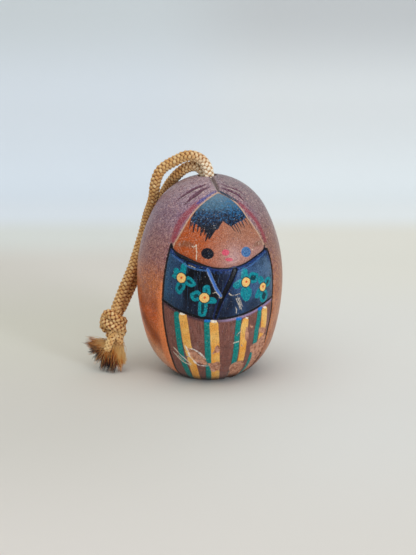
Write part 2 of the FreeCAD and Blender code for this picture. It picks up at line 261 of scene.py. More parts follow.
# Stripes, from the top down, as brush strokes.
GREEN_STRIPES = [
    [(-37.2, 26.6, 1.05), (-37.3, 22.9, 1.05), (-37.2, 17, 1.0), (-37, 10.7, 1.0), (-37, 5, 0.95),
     (-40, 0, 0.9)],
    [(-13.1, 24.7, 1.0), (-12.9, 20.7, 1.05), (-12.5, 14, 1.05), (-11.8, 5.7, 1.05), (-11.6, 0, 1.0)],
    [(12, 24.6, 1.0), (11.7, 20, 0.95), (12.2, 14, 0.95), (12.8, 9, 0.9), (15, 3, 0.85), (17, 0, 0.8)],
    [(31.2, 26.9, 0.9), (31.1, 24, 0.92), (30.5, 20, 0.95), (31, 15.3, 0.85), (30.6, 10, 0.75),
     (32.8, 6, 0.75),
     (36, 0, 0.7)],
]
YELLOW_STRIPES = [
    [(-32.1, 26.1, 1.42), (-31.2, 22, 1.45), (-30.2, 16, 1.4), (-28.3, 10.8, 1.35), (-28, 5, 1.3),
     (-31, 0, 1.25)],
    [(-7.8, 23.9, 1.42), (-7, 19, 1.45), (-6.1, 13, 1.42), (-5, 5.7, 1.38), (-2.4, 0, 1.3)],
    [(18, 24.2, 1.2), (17.6, 22, 1.35), (18, 18, 1.35), (18.8, 14, 1.25), (19.8, 9, 1.15), (22, 3, 1.0),
     (24, 0, 1.0)],
    [(36.8, 26.5, 1.4), (37.6, 23, 1.45), (38.2, 20, 1.35), (37.2, 17, 1.2), (37.8, 10, 1.0),
     (42, 3, 0.9)],
]
BLUE_CAPS = [[(-14.2, 25.1, 0.5), (-11.6, 25.3, 0.55)], [(10.8, 25.3, 0.55), (13.4, 25.3, 0.5)],
             [(30.2, 27.5, 0.55), (32.4, 27.6, 0.6)]]
PALE_CAPS = [[(-33.8, 27.1, 0.42), (-31.0, 27.2, 0.4)], [(-9.4, 25.0, 0.44), (-6.6, 24.9, 0.46)],
             [(18.2, 25.3, 0.25), (19.6, 25.1, 0.32)], [(35.3, 27.7, 0.3), (38, 27.4, 0.36)]]
BLUE_DOTS = [[(-8.1, 13.1, 0.2), (-7.7, 13.3, 0.24)], [(16.6, 15.4, 0.18), (17.4, 15.2, 0.2)],
             [(-31.7, 11.4, 0.24), (-31.3, 11.5, 0.2)], [(-37.6, 11.6, 0.2), (-33.8, 10.2, 0.28)]]

CHIPS = [
    [(-30, 14.6), (-25.3, 14.1), (-21.7, 13.2), (-18.2, 12.1), (-15.3, 11), (-13.8, 8.8), (-18.8, 8.7),
     (-24.1, 9.7), (-28, 11.6)],
    [(-6.4, 15.4), (-4, 16.3), (-2.4, 15), (-2.8, 13.8), (-6.1, 13.2), (-8.4, 13), (-7.2, 14.4)],
    [(-12.6, 9), (-7.6, 9.2), (-2.6, 9.8), (-0.8, 7.6), (-2.2, 5.8), (-8.9, 5.5), (-11.4, 7.6)],
    [(19.2, 21.6), (20.9, 21.3), (22.7, 17.2), (20.4, 16.9), (19, 19)],
    [(9.8, 7.5), (14.1, 8.8), (21.9, 9), (25.8, 6.8), (28.6, 3.9), (29, 0), (15, 0), (11.6, 4.7)],
    [(40.6, 17.4), (45.2, 16.4), (47.2, 12.8), (46.8, 8), (48, 0), (36, 0), (34.6, 5.3), (31.8, 10.6),
     (27.3, 12.6), (27.6, 14.6), (32.7, 15.1), (35.9, 16.4)],
    [(33.7, 20.4), (41.9, 19.7), (42.6, 18.1), (34.8, 18.5)],
    [(22.4, 22.8), (24, 22.2), (25.8, 21.4), (24.4, 21.2), (22.6, 22)],
]
GOUGE_EDGES = [
    [(-29.3, 14.9, 0.1), (-25.2, 14.5, 0.2), (-21.7, 13.7, 0.16), (-18.2, 12.6, 0.24),
     (-15.4, 11.5, 0.14)],
    [(-32.6, 15.8, 0.2), (-31.4, 15, 0.28), (-30.1, 13.4, 0.22), (-29.4, 12, 0.34), (-27.4, 10.8, 0.2),
     (-24.6, 9.2, 0.26), (-21, 8.2, 0.18), (-16.6, 8, 0.26), (-13, 8.1, 0.12)],
    [(-19, 12.4, 0.06), (-16.8, 11.2, 0.12), (-15, 11, 0.05)],
]
SCRATCHES = [
    [(-43.9, 14.3, 0.12), (-41, 13, 0.16), (-38.6, 11.9, 0.12), (-34.4, 10.4, 0.2), (-29.7, 8.4, 0.24)],
    [(-45.3, 12.5, 0.06), (-40.7, 10.2, 0.16), (-36.4, 8.9, 0.2), (-31, 7.9, 0.26)],
    [(-43.6, 12, 0.05), (-39, 10.6, 0.1), (-36, 9.6, 0.06)],
    [(3.6, 34.4, 0.08), (5.4, 33.7, 0.08), (8.2, 33.6, 0.06), (12.2, 34.0, 0.1)],
    [(9, 32.8, 0.04), (11, 30.6, 0.08), (12.8, 28.6, 0.04)],
    [(10.4, 33, 0.04), (12.2, 30.6, 0.1), (13.9, 28.3, 0.04)],
    [(11.8, 32.6, 0.02), (13.2, 31, 0.08), (14.6, 29.4, 0.02)],
    [(8.6, 29.6, 0.02), (9.8, 28.6, 0.08), (9.4, 27.0, 0.04)],
    [(9.2, 16.6, 0.16), (11.6, 16.8, 0.2), (14, 17, 0.1)], [(11.4, 19.4, 0.06), (14.4, 20.7, 0.14)],
    [(-22.3, 50.1, 0.16), (-21.8, 47.6, 0.12), (-21.7, 45.4, 0.14)],
    [(-25.9, 49.6, 0.08), (-24.6, 49.4, 0.14), (-23.2, 49.7, 0.08)], [(26, 47.9, 0.1),
                                                                      (26.3, 47.7, 0.14)],
    [(-28, 43.6, 0.04), (-25.6, 43.3, 0.1), (-22.4, 42.9, 0.06)],
    [(-8.8, 34.7, 0.04), (-6.4, 34.9, 0.08), (-3.6, 33.6, 0.06)],
    [(-4.6, 33.3, 0.04), (-2.4, 32.9, 0.08), (-1.2, 33.4, 0.04)],
]
SMUDGES = [[(-37.4, 49.6, 0.5), (-33, 50.2, 0.9), (-28, 50.1, 0.9), (-24.5, 49.2, 0.4)],
           [(28, 48.6, 0.3), (32, 49.2, 0.8), (37.6, 49.4, 0.9)]]


def line_distance(line, points, half_widths):
    """How far each point is outside a line of segments drawn with given half widths, up to REACH."""
    distance = np.full(len(points), REACH)
    near = np.all((points > line.min(0) - REACH) & (points < line.max(0) + REACH), axis=1)
    close = points[near]
    best = np.full(len(close), REACH)
    for start, end, first, last in zip(line, line[1:], half_widths, half_widths[1:]):
        run = end - start
        part = np.clip((close - start) @ run / max(run @ run, 1e-9), 0, 1)
        away = np.linalg.norm(close - start - part[:, None] * run, axis=1)
        best = np.minimum(best, away - first - part * (last - first))
    distance[near] = best
    return distance


def line_value(places, points):
    """Distance to a line of (angle, height) places."""
    line = on_body(places)
    return line_distance(line, points, np.zeros(len(line)))


def strokes(rows, points):
    """How far each point is outside the nearest of several brush strokes."""
    drawn = [smooth(row, steps=5) if len(row) > 2 else np.asarray(row, float) for row in rows]
    return together(line_distance(on_body(row), points, row[:, 2]) for row in drawn)


def inside(outline, places):
    """Which (angle, height) places are inside a closed outline."""
    crossings = np.zeros(len(places), bool)
    angle, height = places[:, 0], places[:, 1]
    for (x0, y0), (x1, y1) in zip(outline, np.roll(outline, -1, axis=0)):
        if y0 != y1:
            spans = (y0 > height) != (y1 > height)
            crossings ^= spans & (angle < (x1 - x0) * (height - y0) / (y1 - y0) + x0)
    return crossings


def region(outline, places, points):
    """Signed distance to a closed outline, negative inside."""
    outline = np.asarray(outline, float)
    edge = line_value(np.vstack([outline, outline[:1]]), points)
    return np.where(inside(outline, places), -edge, edge)


def together(distances):
    """The nearest of several shapes."""
    return np.minimum.reduce(list(distances))


def oval(centre, width, height, tilt=0.0):
    """Outline places of an oval painted spot, its sizes in mm."""
    turns = np.linspace(0, 2 * math.pi, 20, endpoint=False)
    across, up = width / 2 * np.cos(turns), height / 2 * np.sin(turns)
    lean = math.radians(tilt)
    sideways = across * math.cos(lean) - up * math.sin(lean)
    rise = across * math.sin(lean) + up * math.cos(lean)
    return np.column_stack([centre[0] + np.degrees(sideways / reach_at(centre[1])), centre[1] + rise])


def petal(middle, tip, fullness, eye):
    """Outline places of one petal, from the flower's eye to its tip, drawn a little crooked."""
    per_degree = math.radians(1) * reach_at(middle[1])
    run = np.array([(tip[0] - middle[0]) * per_degree, tip[1] - middle[1]])
    length = np.linalg.norm(run)
    along, across = run / length, np.array([-run[1], run[0]]) / length
    turns = np.linspace(0, 2 * math.pi, 18, endpoint=False)
    half = (length - 0.5 * eye) / 2
    reach = 0.5 * eye + half * (1 + np.cos(turns))
    crooked = (1 + 0.22 * np.sin(2 * turns + tip[0])) * (1 - 0.1 * np.cos(turns))
    spread = fullness * half * np.sin(turns) * crooked
    rows = reach[:, None] * along + spread[:, None] * across
    return np.column_stack([middle[0] + rows[:, 0] / per_degree, middle[1] + rows[:, 1]])


# ------------------------------------------------------------------------------------------- mesh helpers
def make_object(name, points, faces, material, values):
    """A mesh piece that rides on the doll, made in metres from mm, with its per-vertex values."""
    mesh = bpy.data.meshes.new(name)
    mesh.from_pydata((points * MM).tolist(), [], faces)
    for label, numbers in values.items():
        layer = mesh.attributes.new(label, "FLOAT", "POINT")
        layer.data.foreach_set("value", np.asarray(numbers, np.float32))
    mesh.shade_smooth()
    mesh.materials.append(material)
    mesh.update()
    piece = bpy.data.objects.new(name, mesh)
    bpy.context.scene.collection.objects.link(piece)
    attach(piece, "doll")
    return piece


def unit(rows):
    """Rows scaled to length one."""
    return rows / np.maximum(np.linalg.norm(rows, axis=1, keepdims=True), 1e-9)


# ----------------------------------------------------------------------------------------- node materials
def colour(red, green, blue):
    """A display colour from 0 to 255 as the linear colour that shaders use."""
    def linear(value):
        value /= 255
        return value / 12.92 if value <= 0.04045 else ((value + 0.055) / 1.055) ** 2.4
    return (linear(red), linear(green), linear(blue), 1.0)


class Finish:
    """A node material written as a chain of steps."""

    def __init__(self, name, roughness=0.5, coat=0.0, coat_roughness=0.2, sheen=0.0, specular=0.5):
        self.material = bpy.data.materials.new(name)
        self.material.use_nodes = True
        self.nodes = self.material.node_tree.nodes
        self.links = self.material.node_tree.links
        self.shader = self.nodes["Principled BSDF"]
        self.shader.inputs["Roughness"].default_value = roughness
        self.shader.inputs["Coat Weight"].default_value = coat
        self.shader.inputs["Coat Roughness"].default_value = coat_roughness
        self.shader.inputs["Sheen Weight"].default_value = sheen
        self.shader.inputs["Specular IOR Level"].default_value = specular
        self.place = self.nodes.new("ShaderNodeTexCoord").outputs["Object"]

    def put(self, socket, value):
        """Sets a socket to a number or a display colour, or links it to an output."""
        if isinstance(value, bpy.types.NodeSocket):
            self.links.new(value, socket)
        elif isinstance(value, tuple):
            socket.default_value = colour(*value)
        else:
            socket.default_value = value

    def value(self, name):
        node = self.nodes.new("ShaderNodeAttribute")
        node.attribute_name = name
        return node.outputs["Fac"]

    def math(self, operation, first, second=0.0):
        node = self.nodes.new("ShaderNodeMath")
        node.operation = operation
        self.put(node.inputs[0], first)
        self.put(node.inputs[1], second)
        return node.outputs[0]

    def part(self, value, strength):
        return self.math("MULTIPLY", value, strength)

    def ramp(self, value, low, high):
        """Rises smoothly from 0 at low to 1 at high; low may be the larger."""
        node = self.nodes.new("ShaderNodeMapRange")
        node.interpolation_type = "SMOOTHSTEP"
        flip = low > high
        self.put(node.inputs["Value"], value)
        node.inputs["From Min"].default_value = min(low, high)
        node.inputs["From Max"].default_value = max(low, high)
        node.inputs["To Min"].default_value = 1.0 if flip else 0.0
        node.inputs["To Max"].default_value = 0.0 if flip else 1.0
        return node.outputs["Result"]

    def mix(self, factor, first, second, blend="MIX"):
        node = self.nodes.new("ShaderNodeMix")
        node.data_type = "RGBA"
        node.blend_type = blend
        self.put(node.inputs[0], factor)
        self.put(node.inputs[6], first)
        self.put(node.inputs[7], second)
        return node.outputs[2]

    def cover(self, below, shade, share, *more, blend="MIX"):
        """Lays a shade over what is below it, as strongly as the product of its shares."""
        for another in more:
            share = self.part(share, another)
        return self.mix(share, below, shade, blend)

    def noise(self, scale, detail=3.0, roughness=0.55, place=None):
        """Noise from 0 to 1 whose features are about 1/scale metres across."""
        node = self.nodes.new("ShaderNodeTexNoise")
        self.put(node.inputs["Vector"], place or self.place)
        node.inputs["Scale"].default_value = scale
        node.inputs["Detail"].default_value = detail
        node.inputs["Roughness"].default_value = roughness
        return node.outputs["Fac"]

    def stretched(self, along_x, along_y, along_z):
        """The object's coordinates with each axis scaled."""
        node = self.nodes.new("ShaderNodeMapping")
        self.put(node.inputs["Vector"], self.place)
        node.inputs["Scale"].default_value = (along_x, along_y, along_z)
        return node.outputs["Vector"]

    def bands(self, value, stops):
        """A colour that changes along a value from 0 to 1."""
        node = self.nodes.new("ShaderNodeValToRGB")
        node.color_ramp.interpolation = "EASE"
        while len(node.color_ramp.elements) < len(stops):
            node.color_ramp.elements.new(0.5)
        for element, (place, shade) in zip(node.color_ramp.elements, stops):
            element.position = place
            element.color = colour(*shade)
        self.put(node.inputs["Fac"], value)
        return node.outputs["Color"]

    def bump(self, height, distance, strength=1.0):
        node = self.nodes.new("ShaderNodeBump")
        node.inputs["Distance"].default_value = distance
        node.inputs["Strength"].default_value = strength
        self.put(node.inputs["Height"], height)
        self.put(self.shader.inputs["Normal"], node.outputs["Normal"])

    def base(self, value):
        self.put(self.shader.inputs["Base Color"], value)

    def rough(self, value):
        self.put(self.shader.inputs["Roughness"], value)


# ------------------------------------------------------------------------------------------ the doll's body
def body_grid():
    """Outline rows of the whole closed wall, the columns round it, and which rows are outside."""
    top_edge = OUTSIDE[0]
    mouth = arc_points((top_edge[0], top_edge[1] - HOLE_LIP), HOLE_LIP, math.pi, math.pi / 2 + 0.12, 0.08)
    foot = arc_points((BASE_RADIUS - FOOT_EDGE, FOOT_EDGE), FOOT_EDGE, -0.5, -math.pi / 2, 0.15)
    outside = OUTSIDE[OUTSIDE[:, 1] > 0.3]
    outer = np.vstack([mouth, outside[1:], foot])
    bore = np.array([(PLUG_BORE_RADIUS + BORE_CHAMFER, 0), (PLUG_BORE_RADIUS, BORE_CHAMFER),
                     (PLUG_BORE_RADIUS, CAVITY_FLOOR / 2), (PLUG_BORE_RADIUS, CAVITY_FLOOR),
                     (9.5, CAVITY_FLOOR)])
    throat = np.array([(CORD_HOLE_RADIUS, 66.5)])
    inner = np.vstack([bore, INSIDE[::-1], throat])
    rows = np.vstack([outer, inner])
    front = np.arange(-FRONT_HALF_ANGLE, FRONT_HALF_ANGLE, FRONT_STEP)
    back = np.arange(FRONT_HALF_ANGLE, 360 - FRONT_HALF_ANGLE, BACK_STEP)
    return rows, np.concatenate([front, back]), len(outer)


def flower_values(places, points):
    """Signed distances to the flowers' painted petals, the dark inside them, their eyes and dots."""
    painted, hollows, eyes, dots = [], [], [], []
    for middle, eye, petals in FLOWERS:
        for *tip, fullness, kind in petals:
            outline = petal(middle, tip, fullness, eye)
            shape = region(outline, places, points)
            painted.append(shape)
            if kind == "open":
                hollows.append(shape + 0.36 * fullness + 0.78)
        eyes.append(region(oval(middle, 2 * eye, 2 * eye), places, points))
        dots.append(region(oval((middle[0] + 0.3, middle[1] + 0.1), 0.75, 0.75), places, points))
    return {"petals": together(painted), "petal_hollows": together(hollows),
            "flower_eyes": together(eyes), "flower_dots": together(dots)}


def paint_values(places, points):
    """Signed distances in mm to every carved or painted shape."""
    face = np.vstack([FACE_SIDES, CHIN[1:-1]])
    panel = np.vstack([PANEL_LEFT, PANEL_FOOT[1:], PANEL_RIGHT[1:], CHIN[1:-1]])
    skirt = np.vstack([PANEL_FOOT[::-1], SKIRT_LEFT[1:], [(-62, -2), (50, -2)], SKIRT_RIGHT[:-1]])
    # Painted highlights: pale lines just below the carved strokes, where each groove's lower wall catches the
    # light.
    stroke_highlight_lines = [[(angle, height - 0.8 * width - 0.2, 0.18) for angle, height, width in row[1:-1]]
                   for row in VIOLET_STROKES + FAINT_STROKES]
    outlines = {
        "face": face, "panel": panel, "skirt": skirt, "hair": HAIR,
        "left_eye": oval((-12.9, 47.5), 4.2, 3.5, -12), "right_eye": oval((19.7, 47.3), 3.7, 3.3),
        "nose": oval((1.8, 47.7), 2.5, 2.0), "mouth": oval((4.4, 45.4), 2.7, 1.15, -4),
    }
    lines = {
        "side_line": [FACE_SIDES], "chin_line": [CHIN] + CHIN_CORNERS, "foot_line": [PANEL_FOOT],
        "panel_line": [PANEL_LEFT, PANEL_RIGHT, SKIRT_LEFT, SKIRT_RIGHT],
    }
    brushed = {
        "bristles": BRISTLES, "violet_strokes": VIOLET_STROKES, "faint_strokes": FAINT_STROKES,
        "blue_strokes": BLUE_STROKES, "teal_strokes": TEAL_STROKES, "rose": ROSE_BANDS,
        "painted_rim_light": PAINTED_RIM_LIGHT_BANDS, "parting": [PARTING], "painted_parting_highlight": [PAINTED_PARTING_HIGHLIGHT], "collar_bright": [COLLAR_LEFT],
        "collar_dark": [COLLAR_RIGHT], "collar_shade": [COLLAR_SHADE], "collar_bands": COLLAR_BANDS,
        "stain": STAIN, "green": GREEN_STRIPES, "yellow": YELLOW_STRIPES, "blue_caps": BLUE_CAPS,
        "pale_caps": PALE_CAPS, "blue_dots": BLUE_DOTS, "gouge_edges": GOUGE_EDGES,
        "scratches": SCRATCHES, "smudges": SMUDGES, "painted_stroke_highlights": stroke_highlight_lines,
    }
    values = {name: region(outline, places, points) for name, outline in outlines.items()}
    for name, rows in lines.items():
        values[name] = together(line_value(line, points) for line in rows)
    for name, rows in brushed.items():
        values[name] = strokes(rows, points)
    chips = [smooth(outline, closed=True, steps=4) for outline in CHIPS]
    values["chips"] = together(region(outline, places, points) for outline in chips)
    values.update(flower_values(places, points))
    return values


# Carved lines: how far the line's middle is inside the shape, how deep it is cut and its half width, in mm.
CARVED_LINES = {
    "side_line": (0, 0.34, 0.45), "chin_line": (0, 0.36, 0.5), "foot_line": (0, 0.30, 0.45),
    "panel_line": (0, 0.30, 0.45), "collar_bright": (0.3, 0.28, 0.4), "collar_dark": (0.6, 0.36, 0.6),
    "collar_bands": (0.2, 0.20, 0.35),
}


def carve(values):
    """How far in from the turned surface each outside point is cut, in mm."""
    depth = np.zeros(len(values["face"]))
    for label, (inside_by, cut, width) in CARVED_LINES.items():
        depth = np.maximum(depth, cut * np.exp(-((values[label] + inside_by) / width) ** 2))
    for label in ("violet_strokes", "faint_strokes", "teal_strokes"):
        depth = np.maximum(depth, 0.42 * np.clip(0.3 - values[label], 0, 0.7) / 0.7)
    depth = np.maximum(depth, 0.7 * np.clip(0.35 - values["parting"], 0, 1.0))
    chip = np.clip(-values["chips"] / 0.6, 0, 1)
    depth = np.maximum(depth, 0.34 * chip * chip * (3 - 2 * chip))
    depth = np.maximum(depth, 0.12 * np.clip(0.2 - values["scratches"], 0, 0.3) / 0.3)
    paint = np.minimum(np.minimum(values["green"], values["yellow"]),
                       np.minimum(values["petals"], values["flower_eyes"]))
    raised = 0.07 * np.clip(-paint / 0.3, 0, 1) * (values["chips"] > 0)
    return depth - raised


def make_body(material):
    """The turned body as one closed wall, carved outside, with its painted shapes as vertex values."""
    rows, columns, outer_rows = body_grid()
    turns = np.radians(columns)
    reach, height = rows[:, :1], rows[:, 1:]
    x, y = reach * np.sin(turns), -reach * np.cos(turns)
    points = np.stack([x, y, np.broadcast_to(height, x.shape)], axis=2).reshape(-1, 3)
    places = np.stack(np.broadcast_arrays(np.where(columns > 180, columns - 360, columns)[None], height),
                      axis=2).reshape(-1, 2)
    outer = np.repeat(np.arange(len(rows)) < outer_rows, len(columns))

    top = (points[:, 2] > 60) & outer
    roof = (points[:, 2] > 60) & ~outer
    for chosen, radius in ((top, CROWN_RADIUS), (roof, CROWN_RADIUS - WALL)):
        shifted = points[chosen]
        around_hole(shifted, radius)
        points[chosen] = shifted

    found = paint_values(places[outer], points[outer])
    slope = np.gradient(rows[:outer_rows], axis=0)
    normal = unit(np.column_stack([-slope[:, 1], slope[:, 0]]))
    inward = np.stack([-normal[:, :1] * np.sin(turns), normal[:, :1] * np.cos(turns),
                       np.broadcast_to(-normal[:, 1:], (outer_rows, len(columns)))], axis=2).reshape(-1, 3)
    depth = carve(found)
    depth[: 4 * len(columns)] = 0
    points[outer] += inward * depth[:, None]

    values = {}
    for label, numbers in found.items():
        everywhere = np.full(len(points), REACH)
        everywhere[outer] = numbers
        values[label] = everywhere
    values["around"] = places[:, 0]
    values["rightward"] = np.sin(np.radians(places[:, 0]))
    values["up"] = places[:, 1]
    values["bare"] = np.where(outer, 0.0, 1.0)

    across = np.arange(len(columns))
    beside = (across + 1) % len(columns)
    down = np.arange(len(rows))
    below = (down + 1) % len(rows)
    here = down[:, None] * len(columns)
    there = below[:, None] * len(columns)
    faces = np.stack([here + across, there + across, there + beside, here + beside], axis=2).reshape(-1, 4)
    piece = make_object("doll_body", points, faces.tolist(), material, values)
    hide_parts("body_shell")


# Marks painted one over another, in order: the shape, its colour, how far its edge is moved outwards, how
# soft and how uneven the edge is, all in mm, and how strongly the mark covers.
FLOWER_MARKS = [
    ("petal_hollows", (4, 18, 36), 0.0, 0.16, 0.3, 0.85),
    ("flower_eyes", (20, 40, 46), 0.28, 0.12, 0.22, 1.0),
    ("flower_eyes", (238, 190, 112), 0.0, 0.1, 0.22, 1.0),
    ("flower_dots", (224, 96, 40), 0.05, 0.12, 0.22, 1.0),
]
CAP_MARKS = [
    ("blue_caps", (24, 112, 190), 0.0, 0.12, 0.22, 0.92),
    ("pale_caps", (238, 226, 204), 0.0, 0.12, 0.22, 0.95),
    ("blue_dots", (30, 96, 160), 0.0, 0.12, 0.22, 0.8),
]
HOOD_EDGE_MARKS = [
    ("side_line", (206, 168, 136), 0.26, 0.16, 0.22, 0.75),
    ("blue_strokes", (52, 62, 132), 0.0, 0.2, 0.9, 0.85),
    ("teal_strokes", (6, 44, 66), 0.05, 0.16, 0.25, 0.95),
]
LINE_MARKS = [
    ("panel_line", (12, 8, 14), 0.42, 0.12, 0.22, 0.95),
    ("foot_line", (5, 5, 14), 0.42, 0.12, 0.22, 1.0),
    ("collar_bands", (66, 108, 160), 0.0, 0.12, 0.4, 0.8),
    ("collar_dark", (22, 44, 104), 0.36, 0.24, 0.6, 0.55),
    ("collar_dark", (4, 5, 14), 0.0, 0.12, 0.22, 1.0),
    ("collar_bright", (150, 170, 196), 0.2, 0.12, 0.4, 0.6),
    ("collar_bright", (58, 106, 180), 0.02, 0.12, 0.22, 1.0),
    # Painted highlights: pale lines below the carved strokes.
    ("painted_stroke_highlights", (220, 202, 186), 0.0, 0.16, 0.4, 0.85),
    ("violet_strokes", (78, 14, 50), 0.06, 0.16, 0.3, 0.92),
    ("faint_strokes", (92, 50, 68), 0.0, 0.2, 0.4, 0.8),
    ("parting", (88, 72, 68), 0.0, 0.2, 0.2, 0.85),
    # Painted highlight: a pale line beside the parting's groove.
    ("painted_parting_highlight", (206, 190, 178), 0.0, 0.12, 0.22, 0.7),
]


class PaintedWood(Finish):
    """Lacquered, carved and painted wood, with chips, scratches and dust."""

    def __init__(self):
        super().__init__("painted_wood", roughness=0.42, coat=0.06, coat_roughness=0.24, specular=0.13)
        self.up, self.around = self.value("up"), self.value("around")
        self.face = self.value("face")
        self.fine = self.noise(1500, 4, 0.6)
        self.ragged = self.noise(2400, 3, 0.6)
        self.broken = self.noise(950, 4, 0.7)
        self.broad = self.noise(90, 4, 0.6)
        self.patch = self.noise(190, 4, 0.6)
        self.grain = self.noise(420, 5, 0.65, self.stretched(3.2, 3.2, 0.22))
        self.streaks = self.noise(520, 4, 0.7, self.stretched(2.6, 2.6, 0.16))

    def wobble(self, distance, amount, source=None):
        """A distance made uneven, as a brushed edge is."""
        shift = self.part(self.math("SUBTRACT", source or self.ragged, 0.5), 2 * amount)
        return self.math("ADD", distance, shift)

    def shape(self, name, edge=0.0, soft=0.12, amount=0.22):
        """1 inside a shape, 0 outside."""
        return self.ramp(self.wobble(self.value(name), amount), edge + soft, edge - soft)

    def layer(self, below, name, shade, edge=0.0, soft=0.12, amount=0.22, strength=1.0):
        """Paints a shape over what is below it."""
        return self.cover(below, shade, self.shape(name, edge, soft, amount), strength)

    def marks(self, below, rows):
        """Paints a list of marks over what is below them."""
        for name, shade, edge, soft, amount, strength in rows:
            below = self.layer(below, name, shade, edge, soft, amount, strength)
        return below

    def hood(self):
        """Greyish violet at the crown, then rose-brown, then orange-brown down to the base; the crown's pale
        grey is partly a painted sheen, and the left side is painted lighter and more orange than the right, most
        of all low down, as painted light.
        """
        up, around, broad = self.up, self.around, self.broad
        level = self.math("ADD", up, self.part(self.math("SUBTRACT", broad, 0.5), 7.0))
        level = self.math("DIVIDE", level, 70.0)
        # Painted light: the left colours are lighter and more orange low down than the right ones, and both end
        # in a pale grey crown that is partly painted sheen.
        left = self.bands(level, [
            (0.0, (150, 84, 50)), (0.06, (214, 140, 96)), (0.16, (244, 176, 126)), (0.24, (228, 116, 36)),
            (0.36, (220, 98, 10)), (0.5, (210, 122, 66)), (0.66, (160, 110, 102)), (0.84, (148, 122, 134)),
            (1.0, (168, 150, 152))])
        right = self.bands(level, [
            (0.0, (150, 92, 58)), (0.2, (198, 126, 74)), (0.45, (184, 114, 66)), (0.7, (144, 100, 78)),
            (0.88, (136, 118, 112)), (1.0, (130, 122, 120))])
        hood = self.mix(self.ramp(self.value("rightward"), -0.3, 0.6), left, right)
        hood = self.cover(hood, (128, 84, 124), self.ramp(self.value("rose"), 5.0, 0.0),
                          self.ramp(up, 50, 60), 0.4)
        mottle, speckle = self.noise(820, 4, 0.7), self.noise(1900, 3, 0.7)
        high = self.math("ADD", self.part(self.ramp(up, 16, 46), 0.65), 0.35)
        hood = self.cover(hood, (128, 84, 96), high, self.ramp(mottle, 0.48, 0.62), 0.6)
        hood = self.cover(hood, (214, 172, 158), high, self.ramp(mottle, 0.46, 0.34), 0.42)
        hood = self.cover(hood, (176, 152, 170), high, self.ramp(speckle, 0.5, 0.64), blend="MULTIPLY")
        hood = self.cover(hood, (232, 190, 176), self.ramp(speckle, 0.45, 0.34), 0.4)
        hood = self.cover(hood, (124, 44, 12), self.ramp(broad, 0.5, 0.66), self.ramp(up, 46, 22), 0.55)
        hood = self.cover(hood, (104, 62, 48), self.ramp(self.grain, 0.45, 0.75), 0.28)
        stained = self.ramp(self.wobble(self.value("stain"), 2.0, self.patch), 3.0, -1.4)
        hood = self.cover(hood, (112, 38, 6), stained, 0.7)
        # Painted rim light: a lighter, more orange band down each side, strongest on the left.
        painted_rim_light_shade = self.mix(self.ramp(around, -10, 10), (240, 136, 76), (176, 92, 64))
        painted_rim_light = self.ramp(self.value("painted_rim_light"), 1.3, -0.8)
        return self.cover(hood, painted_rim_light_shade, painted_rim_light, self.ramp(around, 60, -60), 0.75)

    def skin(self):
        # Painted highlight: the skin is greyer towards the right and lavender low on the right by the nose and
        # chin, standing in for the window's glare on the lacquer.
        skin = self.mix(self.ramp(self.around, -25, 15), (176, 76, 16), (154, 100, 76))
        skin = self.cover(skin, (172, 128, 122), self.ramp(self.up, 53, 46),
                          self.ramp(self.around, -20, 10), 0.8)
        skin = self.cover(skin, (186, 116, 84), self.ramp(self.broad, 0.4, 0.7), 0.3)
        skin = self.cover(skin, (120, 62, 38), self.ramp(self.fine, 0.46, 0.66), 0.5)
        return self.cover(skin, (214, 158, 128), self.ramp(self.ragged, 0.5, 0.36), 0.4)

    def hair(self):
        """Grey-blue and dusty on top, the grey-blue partly a painted sheen, nearly black navy at the fringe,
        with a painted bluer sheen at the upper right.
        """
        up, fine = self.up, self.fine
        hair = self.bands(self.math("DIVIDE", self.math("SUBTRACT", up, 50.0), 16.0), [
            (0.0, (3, 5, 12)), (0.34, (2, 8, 24)), (0.44, (2, 26, 58)), (0.58, (8, 56, 92)),
            (0.74, (66, 104, 126)), (1.0, (102, 124, 136))])
        hair = self.cover(hair, (2, 8, 26), self.ramp(fine, 0.44, 0.6), self.ramp(up, 64, 58))
        hair = self.cover(hair, (70, 136, 180), self.ramp(fine, 0.46, 0.36), self.ramp(up, 54, 58), 0.38)
        # Painted sheen: a bluer patch at the right of the hair's top, standing in for the window's reflection.
        painted_window_sheen = self.part(self.ramp(self.around, -2, 14), self.ramp(up, 56.5, 59.5))
        return self.cover(hair, (26, 96, 140), painted_window_sheen, 0.6, self.ramp(fine, 0.56, 0.44))

    def hair_mask(self):
        mass = self.ramp(self.wobble(self.value("hair"), 0.2), 0.12, -0.14)
        drawn = self.math("MAXIMUM", mass, self.shape("bristles", 0.0, 0.1, 0.1))
        return self.part(drawn, self.ramp(self.face, 0.05, -0.25))

    def skirt(self):
        skirt = self.mix(self.ramp(self.grain, 0.35, 0.7), (134, 84, 72), (100, 62, 54))
        skirt = self.cover(skirt, (142, 108, 102), self.ramp(self.patch, 0.5, 0.75), 0.6)
        return self.cover(skirt, (150, 116, 104), self.ramp(self.streaks, 0.52, 0.74), 0.5)

    def kimono(self):
        """Navy, nearly black left of the middle and bluer towards both sides, at the right as a painted sheen,
        with a painted blue sheen under the chin.
        """
        turned = self.math("DIVIDE", self.math("ADD", self.around, 50.0), 100.0)
        # Bluer towards both sides; at the right the blue is a painted sheen of the window light.
        panel = self.bands(turned, [
            (0.0, (56, 94, 124)), (0.13, (42, 68, 98)), (0.22, (4, 6, 14)), (0.42, (2, 3, 10)),
            (0.52, (10, 24, 54)), (0.62, (52, 86, 128)), (1.0, (86, 112, 136))])
        panel = self.cover(panel, (30, 40, 60), self.ramp(self.up, 35, 29), 0.6)
        panel = self.cover(panel, (70, 104, 140), self.ramp(self.streaks, 0.5, 0.64), 0.3)
        panel = self.cover(panel, (4, 8, 22), self.ramp(self.patch, 0.5, 0.66), 0.45)
        panel = self.cover(panel, (2, 5, 16), self.ramp(self.ragged, 0.5, 0.62), 0.5)
